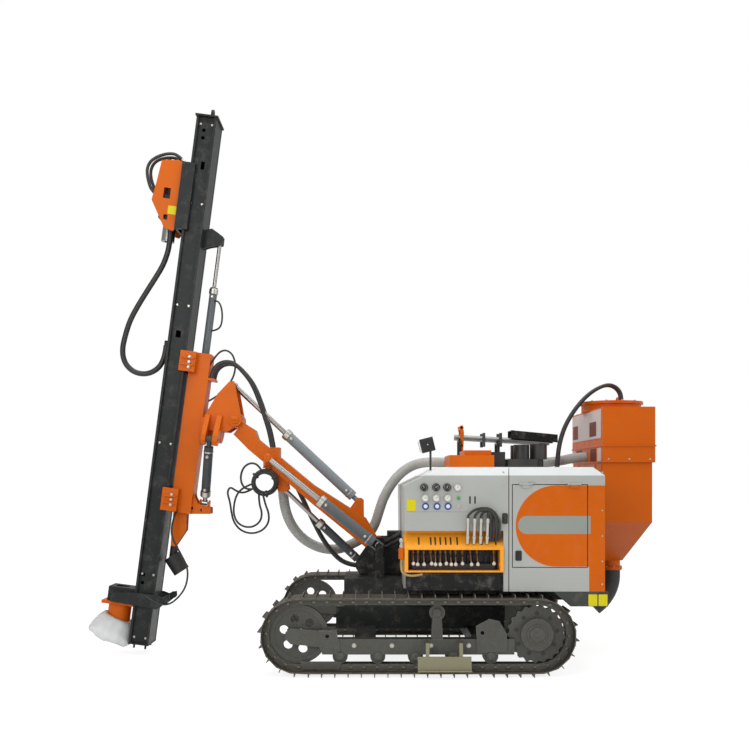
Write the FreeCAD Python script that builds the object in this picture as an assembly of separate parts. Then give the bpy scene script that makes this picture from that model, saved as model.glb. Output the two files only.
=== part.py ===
import FreeCAD, Part
import math
import os

V = FreeCAD.Vector

# Crawler drilling rig, in millimetres. X runs forward to the mast, Y to the left (the operator's
# side) and Z up from the ground. The origin is on the ground between the two tracks' middles.

# Undercarriage
axle_spread = 1880.0          # idler axle to sprocket axle
track_centre = 925.0          # middle of each track from the rig's centre plane
tip_radius = 322.0            # grouser tips round the idler and the sprocket
plate_radius = 294.0          # outer face of the shoe plates
plate_thick = 11.0
link_depth = 51.0             # chain links inside the plates
shoe_width = 300.0
link_width = 110.0
shoe_count = 52
grouser_thick = 10.0
wheel_gap = 0.3               # running gap of idler, sprocket and rollers in the chain
idler_width = 64.0
idler_hole_radius = 36.0
idler_hole_circle = 122.0
idler_hole_count = 6
sprocket_width = 46.0
sprocket_teeth = 21
hub_cover_radius = 127.0
roller_radius = 60.0
roller_width = 88.0
roller_count = 5
roller_first_x = 612.0
roller_pitch = 297.0
carrier_radius = 62.0
carrier_x = -154.0
beam_wall = 12.0
beam_width = 120.0            # track beam over its side walls
beam_low = 165.0
beam_high = 285.0
beam_front_x = 700.0
beam_rear_x = -760.0

# Chassis
frame_half_width = 430.0
frame_low = 285.0
frame_high = 470.0
frame_front_x = 667.0
frame_rear_x = -760.0
deck_half_width = 700.0
deck_low = 560.0
deck_high = 660.0
deck_front_x = 110.0
deck_rear_x = -1450.0
stand_rear_x = deck_rear_x - 190.0
stand_depth = 50.0
tow_hole_y = 300.0
tow_hole_z = 610.0
block_front_x = 600.0
block_rear_x = -45.0
block_half_width = 260.0
block_high = 700.0
frame_wall = 16.0

# Housings
wall = 12.0
house_half_width = 1000.0
house_low = 663.0
house_high = 1641.0
house_seam_x = -711.0
house_front_x = 105.0
house_rear_x = -1470.0
panel_gap = 6.0
bay_half_width = 230.0        # open bay for the boom foot between the two front housings
bay_rear_x = -150.0
console_low = 816.0
console_high = 1139.0
console_rear_x = -672.0
console_depth = 210.0
console_inner_y = house_half_width - console_depth
console_wall = 12.0
door_low = 856.0
door_high = 1500.0
door_front_x = -745.0
door_rear_x = -1330.0
door_thick = 28.0
door_hinge_radius = 8.0
door_pin_radius = 4.0

# Boom swing, boom lift and head tilt axes
swing_x = 160.0
lift_x = 300.0
lift_z = 960.0
tip_x = 1565.0
tip_z = 2067.0
pin_play = 0.05               # radial running clearance at pins
side_play = 6.0               # clearance beside eyes and sleeves
kingpin_radius = 45.0
sleeve_radius = 62.0
sleeve_low = 706.0
sleeve_high = 1039.0
cheek_inner = 91.0
cheek_thick = 24.0
boom_half_width = 85.0
boom_pin_radius = 30.0
foot_boss_radius = 70.0
tip_pin_radius = 28.0
head_plate_inner = 106.0
head_plate_thick = 25.0

# Cylinders: barrel radius, rod radius, eye radius, half the eye's width
cylinder_sizes = {
    "lift": (37.0, 20.0, 36.0, 24.0),
    "tilt": (45.0, 22.0, 34.0, 24.0),
    "boom_swing": (47.0, 24.0, 34.0, 22.0),
    "mast_swing": (40.0, 20.0, 28.0, 24.0),
    "extension": (34.0, 17.0, 26.0, 20.0),
}
barrel_start = 72.0           # from a barrel's foot pin to its end cap
lift_foot = V(440, 0, 785)
lift_eye = V(1165, 0, 1475)
tilt_foot = V(479, 0, 1341)
tilt_eye = V(1592, 0, 2380)
coil_centre = V(1305, 120, 1514)
coil_ring_radius = 100.0
coil_thick_radius = 27.0
seat_gap = 0.3                # between pieces of different bodies or materials that only rest together
boom_swing_foot = V(300, 330, 960)
boom_swing_eye = V(1267, 235, 1729)
trunnion_radius = 14.0
clevis_gap = 34.0             # beside the swing cylinder's eye, which drifts as the boom swings
swing_limit = 20.0            # degrees either way

# Mast, in its own frame: X forward across it, Z up along it, from the middle of its foot
mast_foot = V(2409, 0, 95)
mast_lean = -7.42             # degrees about Y, top towards the rear
mast_length = 4676.0
mast_half_depth = 88.0
mast_half_width = 120.0
mast_wall = 8.0
rail_thick = 20.0
rail_reach = 150.0            # half width over the rails
drill_axis_x = 235.0
swing_axis_z = 1947.0         # mast swing axis up the mast

cradle_low = 1190.0
cradle_high = 2610.0
cradle_front = -115.0
cradle_rear = -295.0
cradle_half_width = 95.0
cradle_wall = 10.0
swing_plate_radius = 140.0
swing_plate_thick = 25.0
swing_pin_radius = 45.0
swing_sleeve_radius = 105.0
head_front = -325.0
head_rear = -470.0
mast_swing_foot = V(-397, 210, 1865)
mast_swing_eye = V(-394, 0, 1299)
extension_x = -228.0
extension_low = 2250.0
extension_joint = 3207.0
extension_eye_z = 3625.0

carriage_low = 3655.0
carriage_high = 4240.0
spindle_radius = 45.0
chuck_radius = 58.0
clamp_bore = 62.0
hood_radius = 100.0
hood_bore = 70.0
skirt_wall = 8.0
skirt_play = 5.5
skirt_radius = 218.0


def box(x0, x1, y0, y1, z0, z1):
    return Part.makeBox(x1 - x0, y1 - y0, z1 - z0, V(x0, y0, z0))


def rod(start, end, radius):
    run = end - start
    return Part.makeCylinder(radius, run.Length, start, run)


def tube(start, end, outer, inner):
    return rod(start, end, outer).cut(rod(start, end, inner))


def side_plate(points, y0, y1):
    """A plate with its outline in the XZ plane."""
    corners = [V(x, y0, z) for x, z in points]
    face = Part.Face(Part.makePolygon(corners + corners[:1]))
    return face.extrude(V(0, y1 - y0, 0))


def cross_plate(points, x0, x1):
    """A plate with its outline in the YZ plane."""
    corners = [V(x0, y, z) for y, z in points]
    face = Part.Face(Part.makePolygon(corners + corners[:1]))
    return face.extrude(V(x1 - x0, 0, 0))


def flat_plate(points, z0, z1):
    """A plate with its outline in the XY plane."""
    corners = [V(x, y, z0) for x, y in points]
    face = Part.Face(Part.makePolygon(corners + corners[:1]))
    return face.extrude(V(0, 0, z1 - z0))


def fused(shapes):
    first = shapes[0]
    if len(shapes) == 1:
        return first
    return first.fuse(shapes[1:]).removeSplitter()


def both_sides(shape):
    return [shape, shape.mirror(V(0, 0, 0), V(0, 1, 0))]


def mirrored(shape):
    return shape.mirror(V(0, 0, 0), V(0, 1, 0))


def on_mast(shape):
    """Moves a shape from the mast's own frame to the rig's."""
    placed = shape.copy()
    placed.rotate(V(0, 0, 0), V(0, 1, 0), mast_lean)
    placed.translate(mast_foot)
    return placed


def mast_point(point):
    turn = FreeCAD.Rotation(V(0, 1, 0), mast_lean)
    return mast_foot + turn.multVec(point)


def mast_local(point):
    turn = FreeCAD.Rotation(V(0, 1, 0), -mast_lean)
    return turn.multVec(point - mast_foot)


def hose(name, points, radius):
    """A round hose along straight runs joined by tangent arcs, each as large as its runs allow."""
    edges = []
    radii = []
    last = points[0]
    for before, corner, after in zip(points, points[1:], points[2:]):
        into = corner - before
        out = after - corner
        turn = into.getAngle(out)
        shorter = min(into.Length, out.Length)
        arc_radius = 0.45 * shorter / math.tan(turn / 2)
        radii.append(round(arc_radius))
        into.normalize()
        out.normalize()
        start = corner - into * (0.45 * shorter)
        end = corner + out * (0.45 * shorter)
        bisector = out - into
        bisector.normalize()
        centre = corner + bisector * math.hypot(arc_radius, 0.45 * shorter)
        to_corner = corner - centre
        to_corner.normalize()
        edges.append(Part.LineSegment(last, start).toShape())
        edges.append(Part.Arc(start, centre + to_corner * arc_radius, end).toShape())
        last = end
    edges.append(Part.LineSegment(last, points[-1]).toShape())
    path = Part.Wire(edges)
    ring = Part.Wire(Part.makeCircle(radius, points[0], points[1] - points[0]))
    shape = path.makePipeShell([ring], True, False)
    section = math.pi * radius ** 2
    print(name, "radii", radii, "length", round(path.Length), "volume ratio",
          round(shape.Volume / (section * path.Length), 4))
    return shape


def loop_point(along, offset, middle_radius):
    """A point on the track's loop, and off it: along the lower run, round the sprocket, back, round."""
    half = axle_spread / 2
    arc = math.pi * middle_radius
    along = along % (2 * axle_spread + 2 * arc)
    radius = middle_radius + offset
    if along < axle_spread:
        return V(half - along, 0, tip_radius - radius)
    along -= axle_spread
    if along < arc:
        turn = along / middle_radius
        return V(-half - radius * math.sin(turn), 0, tip_radius - radius * math.cos(turn))
    along -= arc
    if along < axle_spread:
        return V(-half + along, 0, tip_radius + radius)
    turn = (along - axle_spread) / middle_radius
    return V(half + radius * math.sin(turn), 0, tip_radius + radius * math.cos(turn))


def racetrack(radius, y0, y1):
    half = axle_spread / 2
    low = tip_radius - radius
    high = tip_radius + radius
    edges = [
        Part.LineSegment(V(-half, y0, low), V(half, y0, low)).toShape(),
        Part.Arc(V(half, y0, low), V(half + radius, y0, tip_radius), V(half, y0, high)).toShape(),
        Part.LineSegment(V(half, y0, high), V(-half, y0, high)).toShape(),
        Part.Arc(V(-half, y0, high), V(-half - radius, y0, tip_radius), V(-half, y0, low)).toShape(),
    ]
    return Part.Face(Part.Wire(edges)).extrude(V(0, y1 - y0, 0))


def track():
    """One loop: shoe plates with an upright grouser each, on the two rows of chain links."""
    middle = plate_radius - 36.0
    pitch = (2 * axle_spread + 2 * math.pi * middle) / shoe_count
    outline = []
    for shoe in range(shoe_count):
        rear = loop_point((shoe - 0.5) * pitch, plate_radius - middle, middle)
        front = loop_point((shoe + 0.5) * pitch, plate_radius - middle, middle)
        chord = front - rear
        chord.normalize()
        outward = V(-chord.z, 0, chord.x)
        blade = rear + (front - rear) * 0.3
        root = chord * (grouser_thick / 2)
        tip = outward * (tip_radius - plate_radius)
        outline += [rear, blade - root, blade - root * 0.6 + tip, blade + root * 0.6 + tip, blade + root]
    y0 = track_centre - shoe_width / 2
    y1 = track_centre + shoe_width / 2
    plates = side_plate([(p.x, p.z) for p in outline], y0, y1)
    inner = plate_radius - plate_thick
    plates = plates.cut(racetrack(inner, y0 - 1, y1 + 1))
    link_y0 = track_centre - link_width / 2
    link_y1 = track_centre + link_width / 2
    links = racetrack(inner + 1, link_y0, link_y1)
    links = links.cut(racetrack(inner - link_depth, link_y0 - 1, link_y1 + 1))
    return plates.fuse(links).removeSplitter()


def rail_radius():
    return plate_radius - plate_thick - link_depth - wheel_gap


def sprocket():
    x = -axle_spread / 2
    radius = rail_radius()
    outline = []
    for tooth in range(sprocket_teeth):
        for share, height in ((0.0, 0.0), (0.25, -16.0), (0.55, -16.0), (0.8, 0.0)):
            turn = 2 * math.pi * (tooth + share) / sprocket_teeth
            reach = radius + height
            outline.append((x + reach * math.cos(turn), tip_radius + reach * math.sin(turn)))
    y0 = track_centre - sprocket_width / 2
    wheel = side_plate(outline, y0, y0 + sprocket_width)
    cover = rod(V(x, y0 + sprocket_width, tip_radius), V(x, y0 + sprocket_width + 42, tip_radius),
                hub_cover_radius)
    cap = rod(V(x, y0 + sprocket_width + 42, tip_radius), V(x, y0 + sprocket_width + 54, tip_radius),
              hub_cover_radius * 0.6)
    motor = rod(V(x, track_centre - 250, tip_radius), V(x, y0, tip_radius), 118)
    return fused([wheel, cover, cap, motor])


def idler():
    x = axle_spread / 2
    radius = rail_radius()
    y0 = track_centre - idler_width / 2
    y1 = track_centre + idler_width / 2
    wheel = rod(V(x, y0, tip_radius), V(x, y1, tip_radius), radius)
    recess = tube(V(x, y1 - 14, tip_radius), V(x, y1, tip_radius), 195, 74)
    wheel = wheel.cut(recess)
    wheel = wheel.cut(recess.mirror(V(0, track_centre, 0), V(0, 1, 0)))
    for hole in range(idler_hole_count):
        turn = 2 * math.pi * (hole + 0.25) / idler_hole_count
        hole_x = x + idler_hole_circle * math.cos(turn)
        hole_z = tip_radius + idler_hole_circle * math.sin(turn)
        wheel = wheel.cut(rod(V(hole_x, y0 - 1, hole_z), V(hole_x, y1 + 1, hole_z), idler_hole_radius))
    axle = rod(V(x, track_centre - 64, tip_radius), V(x, track_centre + 64, tip_radius), 40)
    return fused([wheel, axle])


def roller_places():
    return [roller_first_x - roller_pitch * number for number in range(roller_count)]


def rollers():
    """Bottom rollers and the carrier roller, each with its axle through the track beam's walls."""
    chain_low = tip_radius - rail_radius()
    chain_high = tip_radius + rail_radius()
    parts = []
    for x in roller_places():
        z = chain_low + roller_radius
        parts.append(rod(V(x, track_centre - roller_width / 2, z),
                         V(x, track_centre + roller_width / 2, z), roller_radius))
    x = carrier_x
    z = chain_high - carrier_radius
    parts.append(rod(V(x, track_centre - 40, z), V(x, track_centre + 40, z), carrier_radius))
    return Part.makeCompound(parts)


def track_frame():
    """The beam over the rollers, the idler's yoke, the motor's plate and the lugs, for the left side."""
    inner = track_centre - beam_width / 2
    outer = track_centre + beam_width / 2
    parts = [box(beam_rear_x, beam_front_x, inner, outer, beam_high - 15, beam_high)]
    for y0 in (inner, outer - beam_wall):
        parts.append(box(beam_rear_x, beam_front_x, y0, y0 + beam_wall, beam_low, beam_high))
    chain_low = tip_radius - rail_radius()
    for x in roller_places():
        z = chain_low + roller_radius
        for y0, y1 in ((inner, track_centre - roller_width / 2), (track_centre + roller_width / 2, outer)):
            parts.append(side_plate([(x - 45, beam_low + 5), (x + 45, beam_low + 5), (x + 26, z - 34),
                                     (x - 26, z - 34)], y0, y1))
    idler_x = axle_spread / 2
    for y0 in (track_centre - 78, track_centre + 64):
        yoke = side_plate([(beam_front_x - 60, 215), (idler_x + 60, 250), (idler_x + 100, 290),
                           (idler_x + 100, 345), (idler_x + 60, 372), (beam_front_x - 60, 345)],
                          y0, y0 + 14)
        parts.append(yoke)
    parts.append(box(beam_front_x - 60, beam_front_x - 20, track_centre - 78, track_centre + 78, 225,
                     beam_high))
    post_z = tip_radius + rail_radius() - carrier_radius
    for y0, y1 in ((track_centre - 52, track_centre - 40.5), (track_centre + 40.5, track_centre + 52)):
        parts.append(side_plate([(carrier_x - 45, beam_high - 5), (carrier_x + 45, beam_high - 5),
                                 (carrier_x + 30, post_z + 30), (carrier_x - 30, post_z + 30)], y0, y1))
    sprocket_x = -axle_spread / 2
    motor_plate = side_plate([(beam_rear_x + 60, beam_low + 20), (beam_rear_x + 60, beam_high + 130),
                              (sprocket_x + 60, tip_radius + 150), (sprocket_x - 90, tip_radius + 140),
                              (sprocket_x - 140, tip_radius), (sprocket_x - 90, tip_radius - 140),
                              (sprocket_x + 60, tip_radius - 150)],
                             inner - 30, inner)
    hole = rod(V(sprocket_x, inner - 40, tip_radius), V(sprocket_x, inner + 40, tip_radius), 118)
    parts.append(motor_plate.cut(hole))
    frame = fused(parts)
    clear = sprocket_width / 2 + side_play
    frame = frame.cut(rod(V(sprocket_x, track_centre - clear, tip_radius),
                          V(sprocket_x, track_centre + clear, tip_radius), rail_radius() + side_play))
    for x, z, plate in tie_down_lugs():
        lug = side_plate(plate, outer, outer + 14)
        frame = frame.fuse(lug)
        eye = rod(V(x, outer - 5, z), V(x, outer + 20, z), 16)
        frame = frame.cut(eye)
    return frame.removeSplitter()


def tie_down_lugs():
    """Lug plates on the beam's outer side: hole place, then the plate's outline."""
    return [
        (712.0, 312.0, [(776, 361), (640, 361), (612, 200), (640, 168), (750, 168), (776, 230)]),
        (-508.0, 338.0, [(-456, 392), (-560, 448), (-640, 430), (-699, 330), (-699, 190), (-470, 181)]),
    ]


def footstep():
    """A hanging step outboard of the left track, on two bars from the track beam."""
    outer = track_centre + beam_width / 2
    edge = track_centre + shoe_width / 2
    tread = cross_plate([(edge + 30, 172), (edge + 42, 172), (edge + 62, 60), (edge + 50, 60)], -409, 7)
    lip = cross_plate([(edge + 50, 60), (edge + 62, 60), (edge + 110, 66), (edge + 108, 76), (edge + 60, 72)],
                      -409, 7)
    bars = []
    for x in (-330.0, -70.0):
        bars.append(box(x - 14, x + 14, outer, edge + 36, 252, 276))
        bars.append(box(x - 14, x + 14, edge + 22, edge + 36, 110, 276))
    return fused([tread, lip] + bars)


def chassis_frame():
    """Cross beams to the track beams, the centre box, the deck under the housings and the front block."""
    reach = track_centre - beam_width / 2
    centre = box(frame_rear_x, frame_front_x, -frame_half_width, frame_half_width, frame_low, frame_high)
    parts = [centre]
    for x0 in (-600.0, 330.0):
        parts.append(box(x0, x0 + 170, -reach, reach, frame_low - 85, frame_low + 20))
    for y0 in (-400.0, 300.0):
        parts.append(box(frame_rear_x, block_rear_x, y0, y0 + 100, frame_high - 5, deck_low + 5))
    parts.append(box(deck_rear_x, block_rear_x, -deck_half_width, deck_half_width, deck_low, deck_high))
    for y0 in (-deck_half_width, deck_half_width - 90):
        parts.append(box(block_rear_x, deck_front_x, y0, y0 + 90, deck_low, deck_high))
    parts.append(box(block_rear_x, block_front_x, -block_half_width, block_half_width + 130,
                     frame_high - 5, block_high))
    parts += collector_stand()
    body = fused(parts)
    body = body.cut(box(frame_rear_x + frame_wall, frame_front_x - frame_wall,
                        -frame_half_width + frame_wall, frame_half_width - frame_wall,
                        frame_low + frame_wall, frame_high - frame_wall))
    body = body.cut(box(deck_rear_x + 90, block_rear_x - 60, -deck_half_width + frame_wall,
                        deck_half_width - frame_wall, deck_low + frame_wall, deck_high - frame_wall))
    for recess in both_sides(box(block_rear_x - 1, house_front_x + panel_gap, bay_half_width - 3, 500,
                                 deck_high, block_high + 1)):
        body = body.cut(recess)
    for y in (-tow_hole_y, tow_hole_y):
        bore = rod(V(deck_rear_x - 1, y, tow_hole_z), V(deck_rear_x + 60, y, tow_hole_z), 20)
        body = body.cut(bore)
    return body


def boom_base():
    """The fixed column with the kingpin that the swing bracket turns on, and the swing cylinder's post."""
    column = box(-60, -20, -180, 180, block_high, 1085)
    top = flat_plate([(-60, -150), (120, -110), (230, -90), (230, 90), (120, 110), (-60, 150)],
                     sleeve_high + side_play, 1085)
    floor = flat_plate([(-60, -180), (230, -140), (230, 140), (-60, 180)], block_high, block_high + 0.5)
    gussets = both_sides(side_plate([(-20, block_high), (30, block_high), (-20, 900)], 150, 170))
    kingpin = rod(V(swing_x, 0, block_high), V(swing_x, 0, 1085), kingpin_radius - pin_play)
    foot = boom_swing_foot
    post = box(foot.x - 42, foot.x + 42, foot.y - 58, foot.y + 58, block_high, foot.z - 90)
    ears = []
    for y0 in (foot.y - 58, foot.y + 46):
        ears.append(box(foot.x - 34, foot.x + 34, y0, y0 + 12, foot.z - 95, foot.z))
        ears.append(rod(V(foot.x, y0, foot.z), V(foot.x, y0 + 12, foot.z), 34))
    mount = fused([post] + ears)
    mount = mount.cut(rod(V(foot.x, foot.y - 60, foot.z), V(foot.x, foot.y + 60, foot.z),
                          trunnion_radius))
    body = fused([column, top, floor, kingpin] + gussets)
    return Part.makeCompound([body, mount])


def front_section():
    """Outline of the front housings from the side, with the sloping front top."""
    return [(house_seam_x, house_low), (house_front_x, house_low), (house_front_x + 4, 1492),
            (-32, 1560), (-173, house_high), (house_seam_x, house_high)]


def control_housing():
    """The two front housings joined across the top of the open bay, hollow, over the console's recess."""
    outer = side_plate(front_section(), -house_half_width, house_half_width)
    inside = side_plate([(house_seam_x + wall, house_low + wall), (house_front_x - wall, house_low + wall),
                         (house_front_x - wall + 4, 1478), (-44, 1535), (-180, house_high - wall),
                         (house_seam_x + wall, house_high - wall)],
                        -house_half_width + wall, house_half_width - wall)
    bay = box(bay_rear_x, house_front_x + 10, -bay_half_width, bay_half_width, house_low - 1, house_high + 1)
    bay_skin = box(bay_rear_x - wall, house_front_x + 10, -bay_half_width - wall, bay_half_width + wall,
                   house_low - 1, house_high + 1)
    recess = box(console_rear_x, house_front_x + 10, console_inner_y, house_half_width + 1,
                 house_low - 1, console_high)
    recess_skin = box(console_rear_x - wall, house_front_x + 10, console_inner_y - wall,
                      house_half_width + 1, house_low - 1, console_high + wall)
    shell = outer.cut(inside.cut(bay_skin).cut(recess_skin))
    return shell.cut(bay).cut(recess)


def engine_housing():
    """Hollow housing with a door opening in each side, a grille opening behind and a bevelled rear top."""
    outline = [(house_rear_x, house_low), (house_seam_x - panel_gap, house_low),
               (house_seam_x - panel_gap, house_high), (-1374, house_high), (house_rear_x, 1575)]
    outer = side_plate(outline, -house_half_width, house_half_width)
    inside = side_plate([(house_rear_x + wall, house_low + wall),
                         (house_seam_x - panel_gap - wall, house_low + wall),
                         (house_seam_x - panel_gap - wall, house_high - wall),
                         (-1362, house_high - wall), (house_rear_x + wall, 1561)],
                        -house_half_width + wall, house_half_width - wall)
    shell = outer.cut(inside)
    opening = box(door_rear_x - panel_gap, door_front_x + panel_gap, -house_half_width - 1,
                  house_half_width + 1, door_low - panel_gap, door_high + panel_gap)
    grille = box(house_rear_x - 1, house_rear_x + wall + 1, -420, 420, 900, 1460)
    shell = shell.cut(opening).cut(grille)
    slats = []
    for number in range(9):
        z = 925.0 + number * 60.0
        slats.append(box(house_rear_x + 4, house_rear_x + 16, -430, 430, z, z + 22))
    hinges = []
    for side in (1, -1):
        y = side * (house_half_width + door_hinge_radius)
        z = door_high + panel_gap
        for x in hinge_places():
            pin = rod(V(x - 52, y, z), V(x + 52, y, z), door_pin_radius)
            ends = [rod(V(x - 52, y, z), V(x - 31, y, z), door_hinge_radius),
                    rod(V(x + 31, y, z), V(x + 52, y, z), door_hinge_radius)]
            leaves = [box(x - 52, x - 31, min(y, side * (house_half_width - 2)),
                          max(y, side * (house_half_width - 2)), z, z + 8),
                      box(x + 31, x + 52, min(y, side * (house_half_width - 2)),
                          max(y, side * (house_half_width - 2)), z, z + 8)]
            hinges += [pin] + ends + leaves
    return fused([shell] + slats + hinges)


def hinge_places():
    middle = (door_front_x + door_rear_x) / 2
    return (middle - 190, middle + 190)


def side_door():
    """The left engine door, hung at its top edge."""
    y = house_half_width + door_hinge_radius
    z = door_high + panel_gap
    panel = box(door_rear_x, door_front_x, house_half_width - door_thick, house_half_width,
                door_low, door_high)
    parts = [panel]
    for x in hinge_places():
        parts.append(rod(V(x - 30, y, z), V(x + 30, y, z), door_hinge_radius))
        parts.append(box(x - 30, x + 30, house_half_width - 2, y, z - 30, z))
    door = fused(parts)
    for x in hinge_places():
        door = door.cut(rod(V(x - 40, y, z), V(x + 40, y, z), door_pin_radius + pin_play))
    return door


def engine_block():
    return box(-1380, -820, -300, 300, house_low + wall, 1330)


def lever_console():
    """An open-fronted tray for the levers, with a sloping cover above the opening."""
    y1 = house_half_width + 22.0
    x0 = console_rear_x + 0.5
    x1 = house_front_x
    outer = box(x0, x1, console_inner_y + 0.5, y1, console_low, console_high - 0.5)
    bevel = cross_plate([(y1 + 1, 1000), (y1 + 1, console_high + 1), (y1 - 120, console_high + 1),
                         (y1 - 120, console_high - 24)], x0 - 1, x1 + 1)
    outer = outer.cut(bevel)
    opening = box(x0 + 28, x1 - 28, console_inner_y + console_wall, y1 + 1, console_low + console_wall, 992)
    space = box(x0 + console_wall, x1 - console_wall, console_inner_y + console_wall, y1 - 150,
                console_low + console_wall, console_high - 60)
    return outer.cut(opening).cut(space)


def console_levers():
    parts = []
    y0 = console_inner_y + 90
    bar = box(console_rear_x + 60, house_front_x - 60, y0, y0 + 60, console_low + console_wall,
              console_low + 60)
    parts.append(bar)
    for number in range(14):
        x = console_rear_x + 90 + number * 46.0
        for y, height in ((y0 + 15, 150.0), (y0 + 45, 120.0)):
            foot = V(x, y, console_low + 50)
            head = V(x, y + 18, console_low + height)
            parts.append(rod(foot, head, 5))
            parts.append(Part.makeSphere(10, head))
    return fused(parts)


def collector_body():
    """Hopper body of the dust collector, tapering to the outlet flange."""
    x1 = stand_rear_x - 5
    x0 = x1 - 430
    y0, y1 = -1040.0, 190.0
    skin = 8.0
    body = box(x0, x1, y0, y1, 1170, 1690)
    body = body.cut(box(x0 + skin, x1 - skin, y0 + skin, y1 - skin, 1180, 1690 - skin))
    top = Part.makePolygon([V(x0, y0, 1170), V(x1, y0, 1170), V(x1, y1, 1170), V(x0, y1, 1170),
                            V(x0, y0, 1170)])
    low = Part.makePolygon([V(-1960, -530, 790), V(-1800, -530, 790), V(-1800, -370, 790),
                            V(-1960, -370, 790), V(-1960, -530, 790)])
    hopper = Part.makeLoft([top, low], True, True)
    neck = rod(V(-1880, -450, 730), V(-1880, -450, 795), 78)
    flange = rod(V(-1880, -450, 700), V(-1880, -450, 730), 96)
    return fused([body, hopper, neck, flange])


def collector_box():
    """Filter box over the hopper, with its round lid and handle."""
    box_shape = box(-2096, -1640, -1062, 212, 1690.3, 2175)
    box_shape = box_shape.cut(box(-2088, -1648, -1054, 204, 1698, 2167))
    band = box(-2104, -1632, -1070, 220, 1829, 1841)
    neck = rod(V(-1874, -450, 2170), V(-1874, -450, 2236), 272)
    lid = rod(V(-1874, -450, 2236), V(-1874, -450, 2262), 292)
    handle = tube(V(-1940, -450, 2262), V(-1928, -450, 2262), 50, 38)
    handle = handle.common(box(-1950, -1920, -600, -300, 2262, 2400))
    return fused([box_shape, band, neck, lid, handle])


def collector_elbow():
    """Rubber outlet elbow under the hopper, curving forward and down."""
    path = [V(-1880, -450, 699.7), V(-1880, -450, 600), V(-1850, -450, 500), V(-1790, -450, 410),
            V(-1715, -450, 345)]
    return hose("collector_elbow", path, 78)


def collector_stand():
    """Two arms from the deck's rear carrying the hopper."""
    x0 = stand_rear_x
    x1 = stand_rear_x + stand_depth
    parts = []
    for y in (-620.0, 60.0):
        parts.append(box(x0, deck_rear_x + 1, y - 40, y + 40, deck_low + 10, deck_low + 90))
        parts.append(box(x0, x1, y - 40, y + 40, deck_low + 10, 1330))
        parts.append(box(x0 - 5 + seat_gap, x1, y - 40, y + 40, 1200, 1330))
    parts.append(box(x0, x1, -620, 60, 1250, 1330))
    return parts


def swing_bracket():
    """Sleeve on the kingpin with two cheeks that hold the boom's foot and the lift cylinder's foot."""
    sleeve = rod(V(swing_x, 0, sleeve_low), V(swing_x, 0, sleeve_high), sleeve_radius)
    outline = [(swing_x - 60, sleeve_low), (lift_foot.x + 30, sleeve_low), (lift_foot.x + 66, lift_foot.z - 20),
               (lift_foot.x + 66, lift_foot.z + 30), (lift_x + 70, lift_z + 50), (lift_x + 20, 1036),
               (swing_x - 60, 1036)]
    cheeks = both_sides(side_plate(outline, cheek_inner, cheek_inner + cheek_thick))
    plates = [box(swing_x - 60, swing_x + 60, -cheek_inner - 1, cheek_inner + 1, z, z + 40)
              for z in (sleeve_low, 1036 - 40)]
    pins = [rod(V(lift_x, -cheek_inner - cheek_thick - 12, lift_z),
                V(lift_x, cheek_inner + cheek_thick + 12, lift_z), boom_pin_radius),
            rod(V(lift_foot.x, -cheek_inner - cheek_thick - 8, lift_foot.z),
                V(lift_foot.x, cheek_inner + cheek_thick + 8, lift_foot.z), 18)]
    spacers = []
    half = cylinder_sizes["lift"][3]
    for side in (-1, 1):
        y0 = side * (half + side_play)
        y1 = side * cheek_inner
        spacers.append(tube(V(lift_foot.x, y0, lift_foot.z), V(lift_foot.x, y1, lift_foot.z), 30, 17))
    body = fused([sleeve] + plates + cheeks + pins + spacers)
    return body.cut(rod(V(swing_x, 0, sleeve_low - 1), V(swing_x, 0, sleeve_high + 1), kingpin_radius))


def boom():
    """Box beam from the foot boss to the tip boss, with the lugs of the three cylinders."""
    outline = [(1503, 2045), (1396, 1977), (1369, 1898), (880, 1493), (417, 1199), (320, 1035), (236, 985),
               (236, 935), (300, 885), (372, 905), (880, 1318), (1214, 1606), (1450, 1804), (1585, 1940)]
    beam = side_plate(outline, -boom_half_width, boom_half_width)
    hollow = side_plate([(1360, 1885), (880, 1480), (430, 1180), (400, 970), (880, 1335), (1214, 1622),
                         (1400, 1775)], -boom_half_width + 12, boom_half_width - 12)
    foot = rod(V(lift_x, -boom_half_width, lift_z), V(lift_x, boom_half_width, lift_z), foot_boss_radius)
    tip = rod(V(tip_x, -100, tip_z), V(tip_x, 100, tip_z), 66)
    solid = fused([beam.cut(hollow), foot, tip])
    parts = [solid]
    half = cylinder_sizes["lift"][3]
    lug = [(1110, 1540), (1095, 1455), (1135, 1432), (1190, 1432), (1225, 1500), (1290, 1680)]
    for plate in both_sides(side_plate(lug, half + side_play, half + side_play + 20)):
        parts.append(plate)
    half = cylinder_sizes["tilt"][3]
    lug = [(600, 1235), (560, 1285), (515, 1352), (492, 1378), (460, 1378), (437, 1360), (435, 1180),
           (600, 1180)]
    for plate in both_sides(side_plate(lug, half + side_play, half + side_play + 18)):
        parts.append(plate)
    parts.append(rod(V(tilt_foot.x, -50, tilt_foot.z), V(tilt_foot.x, 50, tilt_foot.z), 16))
    body = fused(parts)
    bores = [rod(V(lift_x, -120, lift_z), V(lift_x, 120, lift_z), boom_pin_radius + pin_play),
             rod(V(tip_x, -120, tip_z), V(tip_x, 120, tip_z), tip_pin_radius + pin_play)]
    for bore in bores:
        body = body.cut(bore)
    bulkhead = side_plate([(1180, 1735), (1262, 1803), (1262, 1825), (1180, 1825)], -boom_half_width + 1,
                          boom_half_width - 1)
    top = coil_centre + V(0, 0, coil_ring_radius + coil_thick_radius + seat_gap)
    strap = box(top.x - 16, top.x + 16, boom_half_width - 2, boom_half_width + 6, top.z, 1730)
    hook = box(top.x - 16, top.x + 16, boom_half_width - 2, top.y + 20, top.z, top.z + 8)
    return fused([body, swing_clevis(), bulkhead, strap, hook])


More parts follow.
